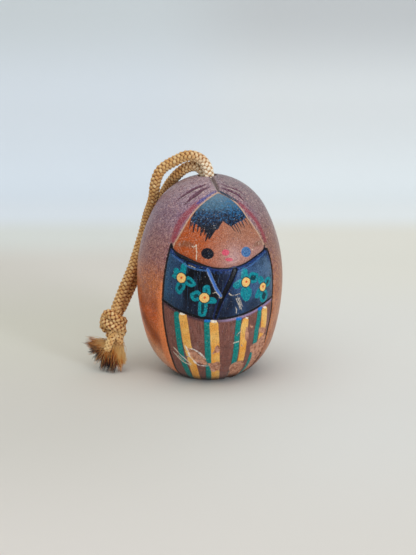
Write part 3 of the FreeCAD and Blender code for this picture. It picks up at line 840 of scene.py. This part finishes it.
        # Painted sheen: a bluer band along the chin line.
        painted_chin_sheen = self.mix(self.ramp(self.fine, 0.4, 0.65), (4, 12, 40), (30, 72, 138))
        return self.cover(panel, painted_chin_sheen, self.ramp(self.value("chin_line"), 2.4, 1.2), 0.7)

    def flowers(self, surface):
        teal = self.mix(self.ramp(self.fine, 0.35, 0.7), (0, 112, 128), (10, 152, 156))
        return self.marks(self.layer(surface, "petals", teal, amount=0.3), FLOWER_MARKS)

    def stripes(self, surface):
        """The band under the kimono's edge, the green and yellow stripes and their caps."""
        band = self.shape("foot_line", 1.15, 0.35, 0.4)
        band_shade = self.mix(self.ramp(self.around, -12, 6), (64, 40, 50), (150, 128, 160))
        surface = self.cover(surface, band_shade, band, self.ramp(self.value("skirt"), 0.1, -0.2), 0.85)
        green = self.mix(self.ramp(self.fine, 0.35, 0.7), (0, 112, 104), (4, 142, 134))
        surface = self.layer(surface, "green", (40, 48, 52), edge=0.22, strength=0.6)
        surface = self.layer(surface, "green", green)
        ochre = self.mix(self.ramp(self.patch, 0.35, 0.7), (230, 156, 62), (236, 188, 104))
        return self.marks(self.layer(surface, "yellow", ochre), CAP_MARKS)

    def features(self, surface):
        """Smudged cheeks, eyes, nose and mouth, with a painted glare on the right eye."""
        smudge = self.mix(self.ramp(self.streaks, 0.5, 0.62), (112, 72, 48), (186, 160, 140))
        surface = self.layer(surface, "smudges", smudge, soft=0.6, amount=0.9, strength=0.62)
        surface = self.layer(surface, "left_eye", (4, 8, 24), amount=0.12)
        # Painted glare: the right eye is painted pale blue, standing in for a reflection on its glossy dark
        # paint.
        painted_eye_glare = self.mix(self.ramp(self.ragged, 0.4, 0.62), (38, 84, 138), (84, 128, 168))
        surface = self.layer(surface, "right_eye", painted_eye_glare, amount=0.12)
        surface = self.layer(surface, "nose", (206, 70, 92), amount=0.2)
        return self.layer(surface, "mouth", (198, 60, 78), amount=0.2)

    def lines(self, surface):
        """The hood's edge, the chin line (thick at the left), the kimono's lines and the hood's strokes."""
        surface = self.marks(surface, HOOD_EDGE_MARKS)
        low_line = self.shape("chin_line", 0.95, 0.3, 0.35)
        surface = self.cover(surface, (22, 48, 106), low_line, self.ramp(self.value("panel"), 0.1, -0.2),
                             0.75)
        leftward = self.part(self.ramp(self.around, -10, -30), self.ramp(self.around, -43, -36))
        thick = self.math("SUBTRACT", self.value("chin_line"), self.part(leftward, 0.75))
        thick = self.ramp(self.wobble(thick, 0.3), 0.54, 0.3)
        surface = self.cover(surface, (4, 6, 16), thick, self.ramp(self.face, -0.3, 0.1))
        return self.marks(surface, LINE_MARKS)

    def chips(self, surface):
        """Bare wood where the paint has chipped off, pale torn edges, scratches and a foot that is darker
        towards the bottom.
        """
        torn = self.wobble(self.wobble(self.value("chips"), 0.75, self.broken), 0.35)
        self.chipped = self.ramp(torn, 0.14, -0.1)
        bare = self.mix(self.ramp(self.broken, 0.4, 0.68), (204, 148, 118), (142, 88, 62))
        bare = self.cover(bare, (206, 178, 158), self.ramp(self.fine, 0.55, 0.75), 0.6)
        surface = self.mix(self.chipped, surface, bare)
        torn_edge = self.wobble(self.wobble(self.value("gouge_edges"), 0.6, self.broken), 0.3)
        surface = self.cover(surface, (236, 226, 214), self.ramp(torn_edge, 0.14, -0.14), 0.9)
        surface = self.layer(surface, "scratches", (218, 204, 180), edge=0.06, amount=0.3, strength=0.8)
        # The foot is darker towards its bottom edge.
        foot_darkening = self.ramp(self.math("ADD", self.up, self.part(self.broken, 3.4)), 5.4, 2.6)
        return self.cover(surface, (26, 12, 10), foot_darkening, 0.8)

    def wear(self, surface):
        """Fine wear shows the wood in specks; dust shows pale, most of all on the crown and the hair."""
        off_hair = self.ramp(self.value("hair"), -0.2, 0.3)
        off_panel = self.ramp(self.value("panel"), -0.2, 0.2)
        worn_specks = self.ramp(self.noise(1700, 3, 0.65), 0.655, 0.7)
        bared = self.math("ADD", self.part(off_panel, 0.4), 0.1)
        surface = self.cover(surface, (206, 150, 112), off_hair, worn_specks, bared)
        cool_specks = self.ramp(self.noise(1300, 3, 0.6, self.stretched(1.1, 1.3, 1.0)), 0.67, 0.73)
        surface = self.cover(surface, (96, 126, 168), cool_specks, 0.5)
        upper = self.ramp(self.up, 36, 66)
        stipple = self.ramp(self.noise(4200, 2, 0.6), 0.52, 0.64)
        on_hood = self.ramp(self.math("MINIMUM", self.face, self.value("panel")), 0.0, 0.3)
        film = self.part(upper, self.math("ADD", self.part(on_hood, 0.22), 0.06))
        film = self.math("ADD", film, 0.05)
        surface = self.cover(surface, (206, 196, 196), stipple, off_panel, film)
        pits = self.ramp(self.noise(3900, 2, 0.6, self.stretched(1.0, 1.2, 1.1)), 0.52, 0.64)
        surface = self.cover(surface, (140, 124, 136), pits, 0.75, blend="MULTIPLY")
        dust = self.ramp(self.noise(3000, 2, 0.5), 0.68, 0.74)
        dusty = self.math("ADD", self.part(upper, 0.5), 0.3)
        return self.cover(surface, (226, 220, 214), dust, dusty)


def painted_wood():
    """The doll's finish, built up in the order in which the real one was painted and worn."""
    finish = PaintedWood()
    surface = finish.layer(finish.hood(), "face", finish.skin())
    surface = finish.cover(surface, (146, 46, 60), finish.shape("rose", 0.2, 0.6, 0.8),
                           finish.ramp(finish.face, 0.0, 0.4), 0.8)
    surface = finish.mix(finish.hair_mask(), surface, finish.hair())
    surface = finish.layer(surface, "skirt", finish.skirt())
    surface = finish.layer(surface, "panel", finish.kimono())
    surface = finish.layer(surface, "collar_shade", (12, 14, 20), soft=0.5)
    for step in (finish.flowers, finish.stripes, finish.features, finish.lines, finish.chips, finish.wear):
        surface = step(surface)
    wood = finish.mix(finish.ramp(finish.grain, 0.3, 0.7), (190, 150, 108), (160, 118, 80))
    finish.base(finish.mix(finish.value("bare"), surface, wood))

    worn = finish.math("MAXIMUM", finish.chipped, finish.value("bare"))
    rough = finish.math("ADD", finish.part(finish.fine, 0.16), 0.25)
    finish.rough(finish.math("MAXIMUM", rough, finish.part(worn, 0.75)))
    relief = finish.math("ADD", finish.part(finish.grain, 0.6), finish.part(finish.ragged, 0.5))
    finish.bump(relief, 0.00012, 0.6)
    return finish.material


# ------------------------------------------------------------------------------------------------ the cord
# Route points of the two legs, from the hole to the knot, as the cord's solids have them.
OUTER_ROUTE = [
    (-0.46, -1.35, 66.7), (-0.5, -1.35, 69.4), (-1.0, -0.7, 72.2), (-3.0, 0.9, 75.0), (-7.0, 2.8, 76.0),
    (-11.4, 4.7, 73.5), (-15.9, 6.2, 70.8), (-17.7, 6.9, 65.8), (-17.8, 9.1, 59.6), (-19.3, 13.4, 53.6),
    (-20.4, 15.9, 46.8), (-22.7, 14.8, 40.6), (-25.3, 10.8, 35.2), (-29.1, 7.1, 28.9), (-32.1, 6.6, 21.4),
]
INNER_ROUTE = [
    (-1.2, 1.67, 66.7), (-1.25, 1.75, 68.7), (-2.0, 2.3, 70.5), (-3.5, 3.45, 71.85), (-5.9, 5.1, 71.7),
    (-8.3, 7.0, 69.9), (-10.8, 9.6, 66.8), (-12.7, 13.8, 62.4), (-14.3, 17.6, 57.0), (-16.0, 19.4, 50.6),
    (-17.8, 19.6, 44.0), (-20.1, 18.1, 38.0), (-22.8, 14.2, 33.4), (-26.5, 10.3, 27.8), (-30.1, 8.4, 21.2),
]
LEG_DIRECTION = math.radians(-76.3)
BIGHT_HALF_ROUTE = [(1.55, 66.7), (1.6, 63.6), (3.3, 60.2), (3.35, 53.9)]

# Eight strands, four each way round: the middle of a strand weaves in and out by STRAND_WEAVE.
BRAID_LAY = 5.8
STRANDS_EACH_WAY = 4
STRAND_REACH = 1.06
STRAND_WEAVE = 0.30
STRAND_HALF_WIDTH = 0.54
STRAND_HALF_DEPTH = 0.43
BRAID_CORE_RADIUS = 0.95
STRAND_SIDES = 8
FUZZ_RADIUS = 0.026
LONGEST_FUZZ = 1.6
FIBRE_TIP = 0.25  # a fibre's tip is this part of its root's thickness


def spline_points(route):
    """Points in mm read along the smooth NURBS line of a route."""
    curve = bpy.data.curves.new("route", "CURVE")
    curve.dimensions = "3D"
    curve.resolution_u = 24
    line = curve.splines.new("NURBS")
    line.points.add(len(route) - 1)
    for point, place in zip(line.points, route):
        point.co = (place[0] * MM, place[1] * MM, place[2] * MM, 1)
    line.order_u = 3
    line.use_endpoint_u = True
    holder = bpy.data.objects.new("route", curve)
    bpy.context.scene.collection.objects.link(holder)
    bpy.context.view_layer.update()
    mesh = bpy.data.meshes.new_from_object(holder)
    points = np.array([tuple(vertex.co) for vertex in mesh.vertices]) / MM
    bpy.data.objects.remove(holder)
    bpy.data.curves.remove(curve)
    bpy.data.meshes.remove(mesh)
    return points


def even_points(points, step):
    """The same line with evenly spaced points, and its length so far at each."""
    runs = np.linalg.norm(np.diff(points, axis=0), axis=1)
    so_far = np.concatenate([[0], np.cumsum(runs)])
    places = np.linspace(0, so_far[-1], max(3, round(so_far[-1] / step) + 1))
    return np.column_stack([np.interp(places, so_far, points[:, axis]) for axis in range(3)]), places


def carried_frames(points):
    """Tangents, and two cross directions that turn as little as possible along the line."""
    tangents = unit(np.gradient(points, axis=0))
    side = np.cross(tangents[0], [0.31, 0.95, 0.07])
    sides = []
    for tangent in tangents:
        side = side - tangent * (side @ tangent)
        side = side / np.linalg.norm(side)
        sides.append(side)
    sides = np.array(sides)
    return tangents, sides, np.cross(tangents, sides)


def ribbed_tube(points, out, half_depth, half_width, sides):
    """A closed tube of oval section whose short axis points along out."""
    tangents = unit(np.gradient(points, axis=0))
    out = unit(out - tangents * np.sum(out * tangents, axis=1, keepdims=True))
    across = np.cross(tangents, out)
    turns = np.linspace(0, 2 * math.pi, sides, endpoint=False)
    taper = np.ones(len(points))
    taper[[0, -1]] = 0.55
    ring = (points[:, None] + taper[:, None, None]
            * (half_depth * np.cos(turns)[None, :, None] * out[:, None]
               + half_width * np.sin(turns)[None, :, None] * across[:, None]))
    rows, columns = np.arange(len(points) - 1)[:, None], np.arange(sides)
    beside = (columns + 1) % sides
    faces = np.stack([rows * sides + columns, rows * sides + beside, (rows + 1) * sides + beside,
                      (rows + 1) * sides + columns], axis=2).reshape(-1, 4).tolist()
    faces.append(list(range(sides))[::-1])
    faces.append([(len(points) - 1) * sides + column for column in range(sides)])
    return ring.reshape(-1, 3), faces


class Bundle:
    """Several tubes or fibres gathered into one mesh, with per-vertex values."""

    def __init__(self):
        self.points, self.faces, self.count = [], [], 0
        self.values = {"along": [], "tip": [], "tone": [], "ridge": []}

    def add(self, points, faces, **values):
        self.points.append(points)
        self.faces += [[corner + self.count for corner in face] for face in faces]
        self.count += len(points)
        for label, numbers in values.items():
            self.values[label].append(np.broadcast_to(numbers, len(points)))

    def build(self, name, material):
        values = {label: np.concatenate(numbers) for label, numbers in self.values.items()}
        return make_object(name, np.vstack(self.points), self.faces, material, values)


def add_braid(bundle, line, start=0.0, scale=1.0, pale=0.0):
    """Strands that go round a line both ways, each passing over one of the others and under the next.

    pale lightens the painted shade in the hollows between the strands, as where the cord has been rubbed and
    loosened.
    """
    points, so_far = even_points(line, 0.24)
    _, side, other = carried_frames(points)
    core = BRAID_CORE_RADIUS * scale
    ring, faces = ribbed_tube(points, side, core, core, STRAND_SIDES)
    bundle.add(ring, faces, along=np.repeat(so_far + start, STRAND_SIDES), tip=0.0, tone=0.5,
               ridge=0.5 + pale)
    for way in (1, -1):
        for strand in range(STRANDS_EACH_WAY):
            turn = way * 2 * math.pi * (so_far + start) / BRAID_LAY
            turn += (strand + (0.5 if way < 0 else 0)) * 2 * math.pi / STRANDS_EACH_WAY
            weave = way * np.cos(STRANDS_EACH_WAY * (turn - math.pi / 8))
            reach = scale * (STRAND_REACH + STRAND_WEAVE * weave)
            out = np.cos(turn)[:, None] * side + np.sin(turn)[:, None] * other
            ring, faces = ribbed_tube(points + reach[:, None] * out, out, STRAND_HALF_DEPTH * scale,
                                      STRAND_HALF_WIDTH * scale, STRAND_SIDES)
            middles = np.repeat(points, STRAND_SIDES, axis=0)
            height = np.linalg.norm(ring - middles, axis=1) / scale
            bundle.add(ring, faces, along=np.repeat(so_far + start, STRAND_SIDES), tip=0.0,
                       tone=random_source.random(), ridge=height / (CORD_DIAMETER / 2) + pale)


def add_fibre(bundle, bend, radius, tips, tone, along):
    """One loose fibre along three or more bend points, as a thin three-sided tube that narrows."""
    line = smooth(bend, steps=3)
    _, side, other = carried_frames(line)
    part = np.linspace(0, 1, len(line))
    thick = radius * (1 - (1 - FIBRE_TIP) * part)
    corners = [line + thick[:, None] * (math.cos(turn) * side + math.sin(turn) * other)
               for turn in (0, 2.1, 4.2)]
    points = np.stack(corners, axis=1).reshape(-1, 3)
    faces = [[row * 3 + corner, row * 3 + (corner + 1) % 3, row * 3 + 3 + (corner + 1) % 3,
              row * 3 + 3 + corner] for row in range(len(line) - 1) for corner in range(3)]
    faces += [[2, 1, 0], [len(points) - 3, len(points) - 2, len(points) - 1]]
    shade = tips[0] + (tips[1] - tips[0]) * np.repeat(part, 3)
    bundle.add(points, faces, along=along, tip=shade, tone=tone, ridge=1.0)


def add_fuzz(bundle, line, count, start=0.0):
    """Short stray fibres that stand out of a cord."""
    points, so_far = even_points(line, 0.5)
    tangents, side, other = carried_frames(points)
    for _ in range(count):
        spot = random_source.integers(1, len(points) - 1)
        turn = random_source.uniform(0, 2 * math.pi)
        out = math.cos(turn) * side[spot] + math.sin(turn) * other[spot]
        lean = tangents[spot] * random_source.uniform(-1, 1)
        length = random_source.uniform(0.3, LONGEST_FUZZ)
        begin = points[spot] + out * (CORD_DIAMETER / 2 - 0.3)
        middle = begin + (out + 0.7 * lean) * length * 0.45
        end = middle + (0.4 * out + lean + random_source.normal(0, 0.5, 3)) * length * 0.5
        add_fibre(bundle, [begin, middle, end], FUZZ_RADIUS, (0, 0.1), random_source.random(),
                  start + so_far[spot])


def make_leg(name, route, node, material, fuzz, warm=0.0):
    """A leg from the hole to the knot; warm moves its colour along towards the browner cord farther from the
    hole, which paints the leg in shade.
    """
    line = spline_points(route)
    bundle = Bundle()
    add_braid(bundle, line, start=warm, scale=1.11)
    add_fuzz(bundle, line[len(line) // 12:], fuzz, start=warm + 5)
    piece = bundle.build(name, material)
    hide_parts(node)


def make_bight(material):
    """The loop inside, round the peg."""
    across = np.array([math.cos(LEG_DIRECTION), math.sin(LEG_DIRECTION)])
    front = [(*(CORD_HOLE_CENTRE + reach * across), height) for reach, height in BIGHT_HALF_ROUTE]
    back = [(*(CORD_HOLE_CENTRE - reach * across), height) for reach, height in reversed(BIGHT_HALF_ROUTE)]
    bundle = Bundle()
    add_braid(bundle, spline_points(front + back), start=30)
    piece = bundle.build("cord_loop_inside", material)
    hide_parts("cord_bight")


# ------------------------------------------------------------------------------------------------ the knot
KNOT_CENTRE = np.array([-32.6, 7.6, 17.0])
KNOT_LEAN = math.radians(14.0)
KNOT_AXIS = np.array([math.sin(KNOT_LEAN), 0.0, math.cos(KNOT_LEAN)])

# Places of the cord inside and round the knot: reach from its axis, degrees round from the photographed
# side towards the right, and distance up the axis.
KNOT_FRONT_CORD = [
    (1.1, 37, 4.6), (0.9, 10, 2.6), (0.7, 180, 0.2), (1.6, 180, -2.4), (2.6, -140, -3.2), (3.2, -105, -1.6),
    (3.4, -92, 1.0), (3.2, -80, 3.2), (2.9, -45, 4.0), (3.2, -10, 3.0), (3.3, 30, 1.9), (3.4, 70, 0.9),
    (3.0, 110, 0.0), (2.4, 155, -1.2), (1.6, -150, -3.0), (0.9, 90, -2.2), (1.5, 10, -2.6),
]
KNOT_BACK_CORD = [
    (1.8, 135, 4.2), (1.4, 150, 2.4), (1.6, -170, 0.4), (2.4, -135, -0.2), (3.1, -95, 0.3), (3.3, -55, 0.5),
    (3.5, -10, -0.2), (3.6, 38, -0.8), (3.8, 76, -2.0), (3.5, 80, -4.0), (2.4, 85, -5.4), (1.2, 150, -5.4),
    (0.6, -90, -4.2), (1.3, 30, -3.6),
]
FRAYED_LOCKS = 52
FIBRES_IN_LOCK = 32
# Where each tail goes on below the knot: right, towards the viewer and up, from the knot's middle, in mm.
SIDE_TAIL = [(-0.2, 2.8, -4.0), (-1.0, 3.0, -5.8), (-1.7, 2.9, -7.4), (-2.3, 2.6, -9.2)]
FLOOR_TAIL = [(2.0, 1.5, -4.9), (2.1, 1.4, -6.2), (1.8, 1.3, -7.4)]
# The frayed ends' edges in the same measures, and how burnt the fibres' tips are there.
SIDE_EDGE = [(-9.9, 0.4, -6.6, 0.75), (-9.6, 0.6, -8.4, 0.85), (-8.9, 0.9, -10.6, 1.1),
             (-7.0, 1.2, -13.2, 1.3), (-4.6, 2.4, -15.8, 1.45), (-1.6, 3.4, -16.6, 1.45)]
FLOOR_EDGE = [(-4.6, 3.0, -16.4, 1.4), (-1.7, 3.8, -16.7, 1.3), (1.3, 3.6, -16.7, 0.9),
              (3.3, 2.8, -16.0, 0.5), (4.2, 1.0, -13.6, 0.3)]


def knot_point(reach, turn, rise):
    """A place in the knot, measured from its axis."""
    turn = math.radians(turn)
    return (KNOT_CENTRE + reach * (math.cos(turn) * VIEW_FRONT + math.sin(turn) * VIEW_RIGHT)
            + rise * KNOT_AXIS)


def beside_knot(right, near, rise):
    """A place by the knot: right, towards the viewer and up from its middle."""
    return KNOT_CENTRE + right * VIEW_RIGHT + near * VIEW_FRONT + np.array([0, 0, rise])


def make_knot(material):
    """Both ends of the cord tied together, with the short tails below the knot."""
    bundle = Bundle()
    cords = [(KNOT_FRONT_CORD, OUTER_ROUTE, SIDE_TAIL), (KNOT_BACK_CORD, INNER_ROUTE, FLOOR_TAIL)]
    for places, leg, tail in cords:
        route = [tuple(leg[-2] + 0.7 * (np.array(leg[-1]) - leg[-2])), tuple(leg[-1])]
        route += [tuple(knot_point(*place)) for place in places]
        line = spline_points(route)
        add_braid(bundle, line, start=80, scale=1.0, pale=0.02)
        add_fuzz(bundle, line, 150, start=80)
        tail_line = spline_points(route[-1:] + [tuple(beside_knot(*place)) for place in tail])
        add_braid(bundle, tail_line, start=40, scale=0.88, pale=0.16)
        add_fuzz(bundle, tail_line, 50, start=40)
    piece = bundle.build("overhand_knot", material)
    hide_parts("knot")


def make_tuft(name, node, root, edge, seed, material):
    """A frayed end: fibres in locks that open from the tail's end to a ragged edge."""
    draw = np.random.default_rng(seed)
    edge_line = smooth(edge, steps=6)
    start = beside_knot(*root)
    bundle = Bundle()
    for lock in range(FRAYED_LOCKS):
        spot = (lock + draw.uniform(0, 1)) / FRAYED_LOCKS * (len(edge_line) - 1.001)
        low = int(spot)
        *tip, scorch = edge_line[low] + (edge_line[low + 1] - edge_line[low]) * (spot - low)
        tip = np.array(tip) + draw.normal(0, 1, 3) * (0.35, 1.5, 0.35)
        tone = draw.random()
        length = draw.uniform(0.66, 1.04)
        scorch *= draw.uniform(0.75, 1.2)
        for fibre in range(FIBRES_IN_LOCK):
            spared = fibre % 7 == 0
            begin = start + draw.normal(0, 0.6, 3)
            aim = beside_knot(*(tip + draw.normal(0, 0.42, 3)))
            end = begin + (aim - begin) * length * draw.uniform(0.84, 0.98)
            end += (end - begin) * (0.05 if spared else 0)
            end[2] = max(end[2], 0.25 + 0.3 * draw.random())
            middle = begin + (end - begin) * 0.4 + draw.normal(0, 0.5, 3) + np.array([0, 0, 0.4])
            later = begin + (end - begin) * 0.76 + draw.normal(0, 0.35, 3)
            later[2] = max(later[2], 0.3)
            add_fibre(bundle, [begin, middle, later, end], draw.uniform(0.06, 0.11),
                      (0, scorch * draw.uniform(0.75, 1.1) * (0.5 if spared else 1)), tone, 100)
    piece = bundle.build(name, material)
    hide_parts(node)


def cord_fibre():
    """Golden-tan plant fibre: pale on the ridges, orange-brown between the strands as painted shade, paler near
    the hole where it is bleached and painted as lit, dark at burnt tips.
    """
    finish = Finish("cord_fibre", roughness=0.8, sheen=0.15, specular=0.25)
    tone, tip, along = finish.value("tone"), finish.value("tip"), finish.value("along")
    ridge = finish.value("ridge")
    threads = finish.noise(5200, 2, 0.5)
    blotch = finish.noise(240, 4, 0.6)
    crest = finish.mix(tone, (216, 172, 108), (236, 204, 146))
    crest = finish.mix(finish.part(finish.ramp(blotch, 0.45, 0.7), 0.6), crest, (204, 134, 50))
    # Paler near the hole: the cord is bleached there, and the paleness is also a painted highlight.
    pale_near_hole = finish.ramp(finish.math("ADD", along, finish.part(blotch, 9.0)), 19.0, 8.0)
    crest = finish.mix(pale_near_hole, crest, (246, 234, 206))
    # Painted shade: the hollows between the strands, where the ridge value is low, are darker orange-brown.
    deep = finish.mix(pale_near_hole, (138, 64, 6), (186, 128, 62))
    shade = finish.mix(finish.ramp(ridge, 0.9, 1.14), deep, crest)
    shade = finish.mix(finish.part(finish.ramp(threads, 0.45, 0.7), 0.6), shade, (168, 110, 50))
    burnt = finish.bands(finish.math("DIVIDE", tip, 1.3), [
        (0.0, (242, 206, 140)), (0.24, (240, 190, 106)), (0.38, (224, 136, 42)),
        (0.5, (160, 76, 14)), (0.6, (70, 24, 6)), (0.7, (10, 4, 4))])
    loose = finish.mix(finish.part(tone, 0.5), burnt, (176, 120, 60), "MULTIPLY")
    loose = finish.mix(finish.part(finish.ramp(tip, 0.5, 0.2), 0.35), loose, crest)
    shade = finish.mix(finish.ramp(tip, 0.0, 0.12), shade, loose)
    finish.base(shade)
    wave = finish.math("SINE", finish.part(along, 14.0))
    finish.bump(finish.math("ADD", threads, finish.part(wave, 0.15)), 0.0001, 0.8)
    return finish.material


def bare_wood():
    """Unpainted turned wood of the plug and the peg."""
    finish = Finish("bare_turned_wood", roughness=0.62)
    grain = finish.noise(420, 5, 0.65, finish.stretched(3.0, 3.0, 0.3))
    rings = finish.noise(160, 3, 0.5)
    shade = finish.mix(finish.ramp(grain, 0.35, 0.7), (196, 156, 112), (164, 120, 80))
    finish.base(finish.mix(finish.part(rings, 0.3), shade, (140, 98, 62)))
    finish.bump(grain, 0.0002, 0.6)
    return finish.material


def pellet_finish():
    """The brown mottled skin of the balls."""
    finish = Finish("dried_seed", roughness=0.5)
    mottled = finish.noise(900, 4, 0.6)
    shade = finish.mix(finish.ramp(mottled, 0.4, 0.65), (120, 82, 52), (76, 50, 34))
    finish.base(shade)
    finish.bump(mottled, 0.0003, 0.8)
    return finish.material


def refinish(material, *nodes):
    """Gives carried-over CAD nodes a new material."""
    for node in nodes:
        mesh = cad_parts[node].data
        mesh.materials.clear()
        mesh.materials.append(material)


make_body(painted_wood())
refinish(bare_wood(), "base_plug", "toggle_peg")
refinish(pellet_finish(), *[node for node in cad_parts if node.startswith("pellet")])

fibre = cord_fibre()
make_leg("cord_outer_leg", OUTER_ROUTE, "cord_leg_outer", fibre, 420)
# The inner leg is painted browner, as painted shade.
make_leg("cord_inner_leg", INNER_ROUTE, "cord_leg_inner", fibre, 320, warm=3.0)
make_bight(fibre)
make_knot(fibre)
make_tuft("frayed_tuft_side", "frayed_end_side", (-1.5, 1.6, -7.8), SIDE_EDGE, 21, fibre)
make_tuft("frayed_tuft_floor", "frayed_end_floor", (1.3, 1.5, -6.9), FLOOR_EDGE, 22, fibre)


# ------------------------------------------------------------------------------------- camera, stage, light
CAMERA_DISTANCE = 0.450
CAMERA_ELEVATION = math.radians(14.5)
CAMERA_TARGET = np.array([0, 0, 0.0335]) - 0.00059 * VIEW_RIGHT
CAMERA_LENS = 84.84
CAMERA_SENSOR = 36.0


def make_camera():
    """The photograph's view: a little above, and turned so that the doll faces slightly to the right."""
    toward = math.cos(CAMERA_ELEVATION) * VIEW_FRONT + np.array([0, 0, math.sin(CAMERA_ELEVATION)])
    data = bpy.data.cameras.new("camera")
    data.sensor_width = CAMERA_SENSOR
    data.lens = CAMERA_LENS
    camera = bpy.data.objects.new("camera", data)
    bpy.context.scene.collection.objects.link(camera)
    camera.location = CAMERA_TARGET + CAMERA_DISTANCE * toward
    camera.rotation_euler = Vector(-toward).to_track_quat("-Z", "Y").to_euler()
    bpy.context.scene.camera = camera


# How far behind the doll in metres, and the colour there at the left and at the right: pale paper with painted
# light and shade, a painted shadow at the left near the doll and darker far away.
STAGE_PAINTED_LIGHT = [
    (-0.15, (213, 207, 199), (213, 208, 200)), (-0.05, (204, 200, 191), (215, 213, 207)),
    (0.05, (207, 204, 191), (220, 218, 211)), (0.15, (214, 209, 200), (224, 221, 210)),
    (0.215, (218, 220, 214), (227, 224, 213)), (0.27, (223, 229, 234), (232, 236, 236)),
    (0.33, (219, 227, 234), (229, 235, 237)), (0.44, (211, 217, 222), (216, 219, 219)),
    (0.52, (199, 204, 205), (191, 193, 193)),
]
STAGE_START = STAGE_PAINTED_LIGHT[0][0]
STAGE_LENGTH = STAGE_PAINTED_LIGHT[-1][0] - STAGE_START


def stage_finish():
    """Pale paper with painted light and shade: warm and greyer at the left near the doll as a painted shadow,
    cooler behind, and darker far away as painted shade.
    """
    finish = Finish("pale_paper_painted_light", roughness=0.95, specular=0.1)
    depth = finish.math("SUBTRACT", finish.value("depth"), STAGE_START)
    depth = finish.math("DIVIDE", depth, STAGE_LENGTH)
    left = [((place - STAGE_START) / STAGE_LENGTH, shade) for place, shade, _ in STAGE_PAINTED_LIGHT]
    right = [((place - STAGE_START) / STAGE_LENGTH, shade) for place, _, shade in STAGE_PAINTED_LIGHT]
    turn = finish.ramp(finish.value("side"), -0.05, 0.05)
    finish.base(finish.mix(turn, finish.bands(depth, left), finish.bands(depth, right)))
    return finish.material


def make_stage():
    """A pale sheet that lies under the doll and curves up behind it."""
    bend = arc_points((0.30, 0.22), 0.22, -math.pi / 2, 0, 0.02)
    profile = np.vstack([[(-1.4, 0)], bend, [(0.52, 1.6)]])
    along = np.cumsum(np.concatenate([[-1.4], np.linalg.norm(np.diff(profile, axis=0), axis=1)]))
    away, sides = -VIEW_FRONT, (-1.6, 1.6)
    points = [tuple(depth * away + side * VIEW_RIGHT + np.array([0, 0, height]))
              for depth, height in profile for side in sides]
    faces = [(2 * row, 2 * row + 1, 2 * row + 3, 2 * row + 2) for row in range(len(profile) - 1)]
    mesh = bpy.data.meshes.new("paper_sweep")
    mesh.from_pydata(points, [], faces)
    for label, numbers in (("depth", np.repeat(along, 2)), ("side", np.tile(sides, len(profile)))):
        layer = mesh.attributes.new(label, "FLOAT", "POINT")
        layer.data.foreach_set("value", np.asarray(numbers, np.float32))
    mesh.shade_smooth()
    mesh.materials.append(stage_finish())
    sweep = bpy.data.objects.new("paper_sweep", mesh)
    bpy.context.scene.collection.objects.link(sweep)


def make_light(name, azimuth, elevation, distance, size, power, shade):
    """A square soft light aimed at the doll; azimuth 0 is the camera's side and 90 its right."""
    turn, rise = math.radians(azimuth), math.radians(elevation)
    toward = (math.cos(rise) * (math.cos(turn) * VIEW_FRONT + math.sin(turn) * VIEW_RIGHT)
              + np.array([0, 0, math.sin(rise)]))
    data = bpy.data.lights.new(name, "AREA")
    data.size = size
    data.energy = power
    data.color = shade
    lamp = bpy.data.objects.new(name, data)
    bpy.context.scene.collection.objects.link(lamp)
    lamp.location = toward * distance + np.array([0, 0, 0.035])
    lamp.rotation_euler = Vector(-toward).to_track_quat("-Z", "Y").to_euler()
    lamp.visible_camera = False


make_camera()
make_stage()
make_light("overhead", -12, 74, 1.1, 1.6, 9.0, (1.0, 0.99, 0.97))
make_light("front_window", 38, 11, 1.0, 0.2, 4.4, (0.78, 0.86, 1.0))
world = bpy.data.worlds.new("soft_room")
world.use_nodes = True
world.node_tree.nodes["Background"].inputs["Color"].default_value = (0.93, 0.97, 1.0, 1.0)
world.node_tree.nodes["Background"].inputs["Strength"].default_value = 0.54
bpy.context.scene.world = world
bpy.context.scene.view_settings.view_transform = "Standard"
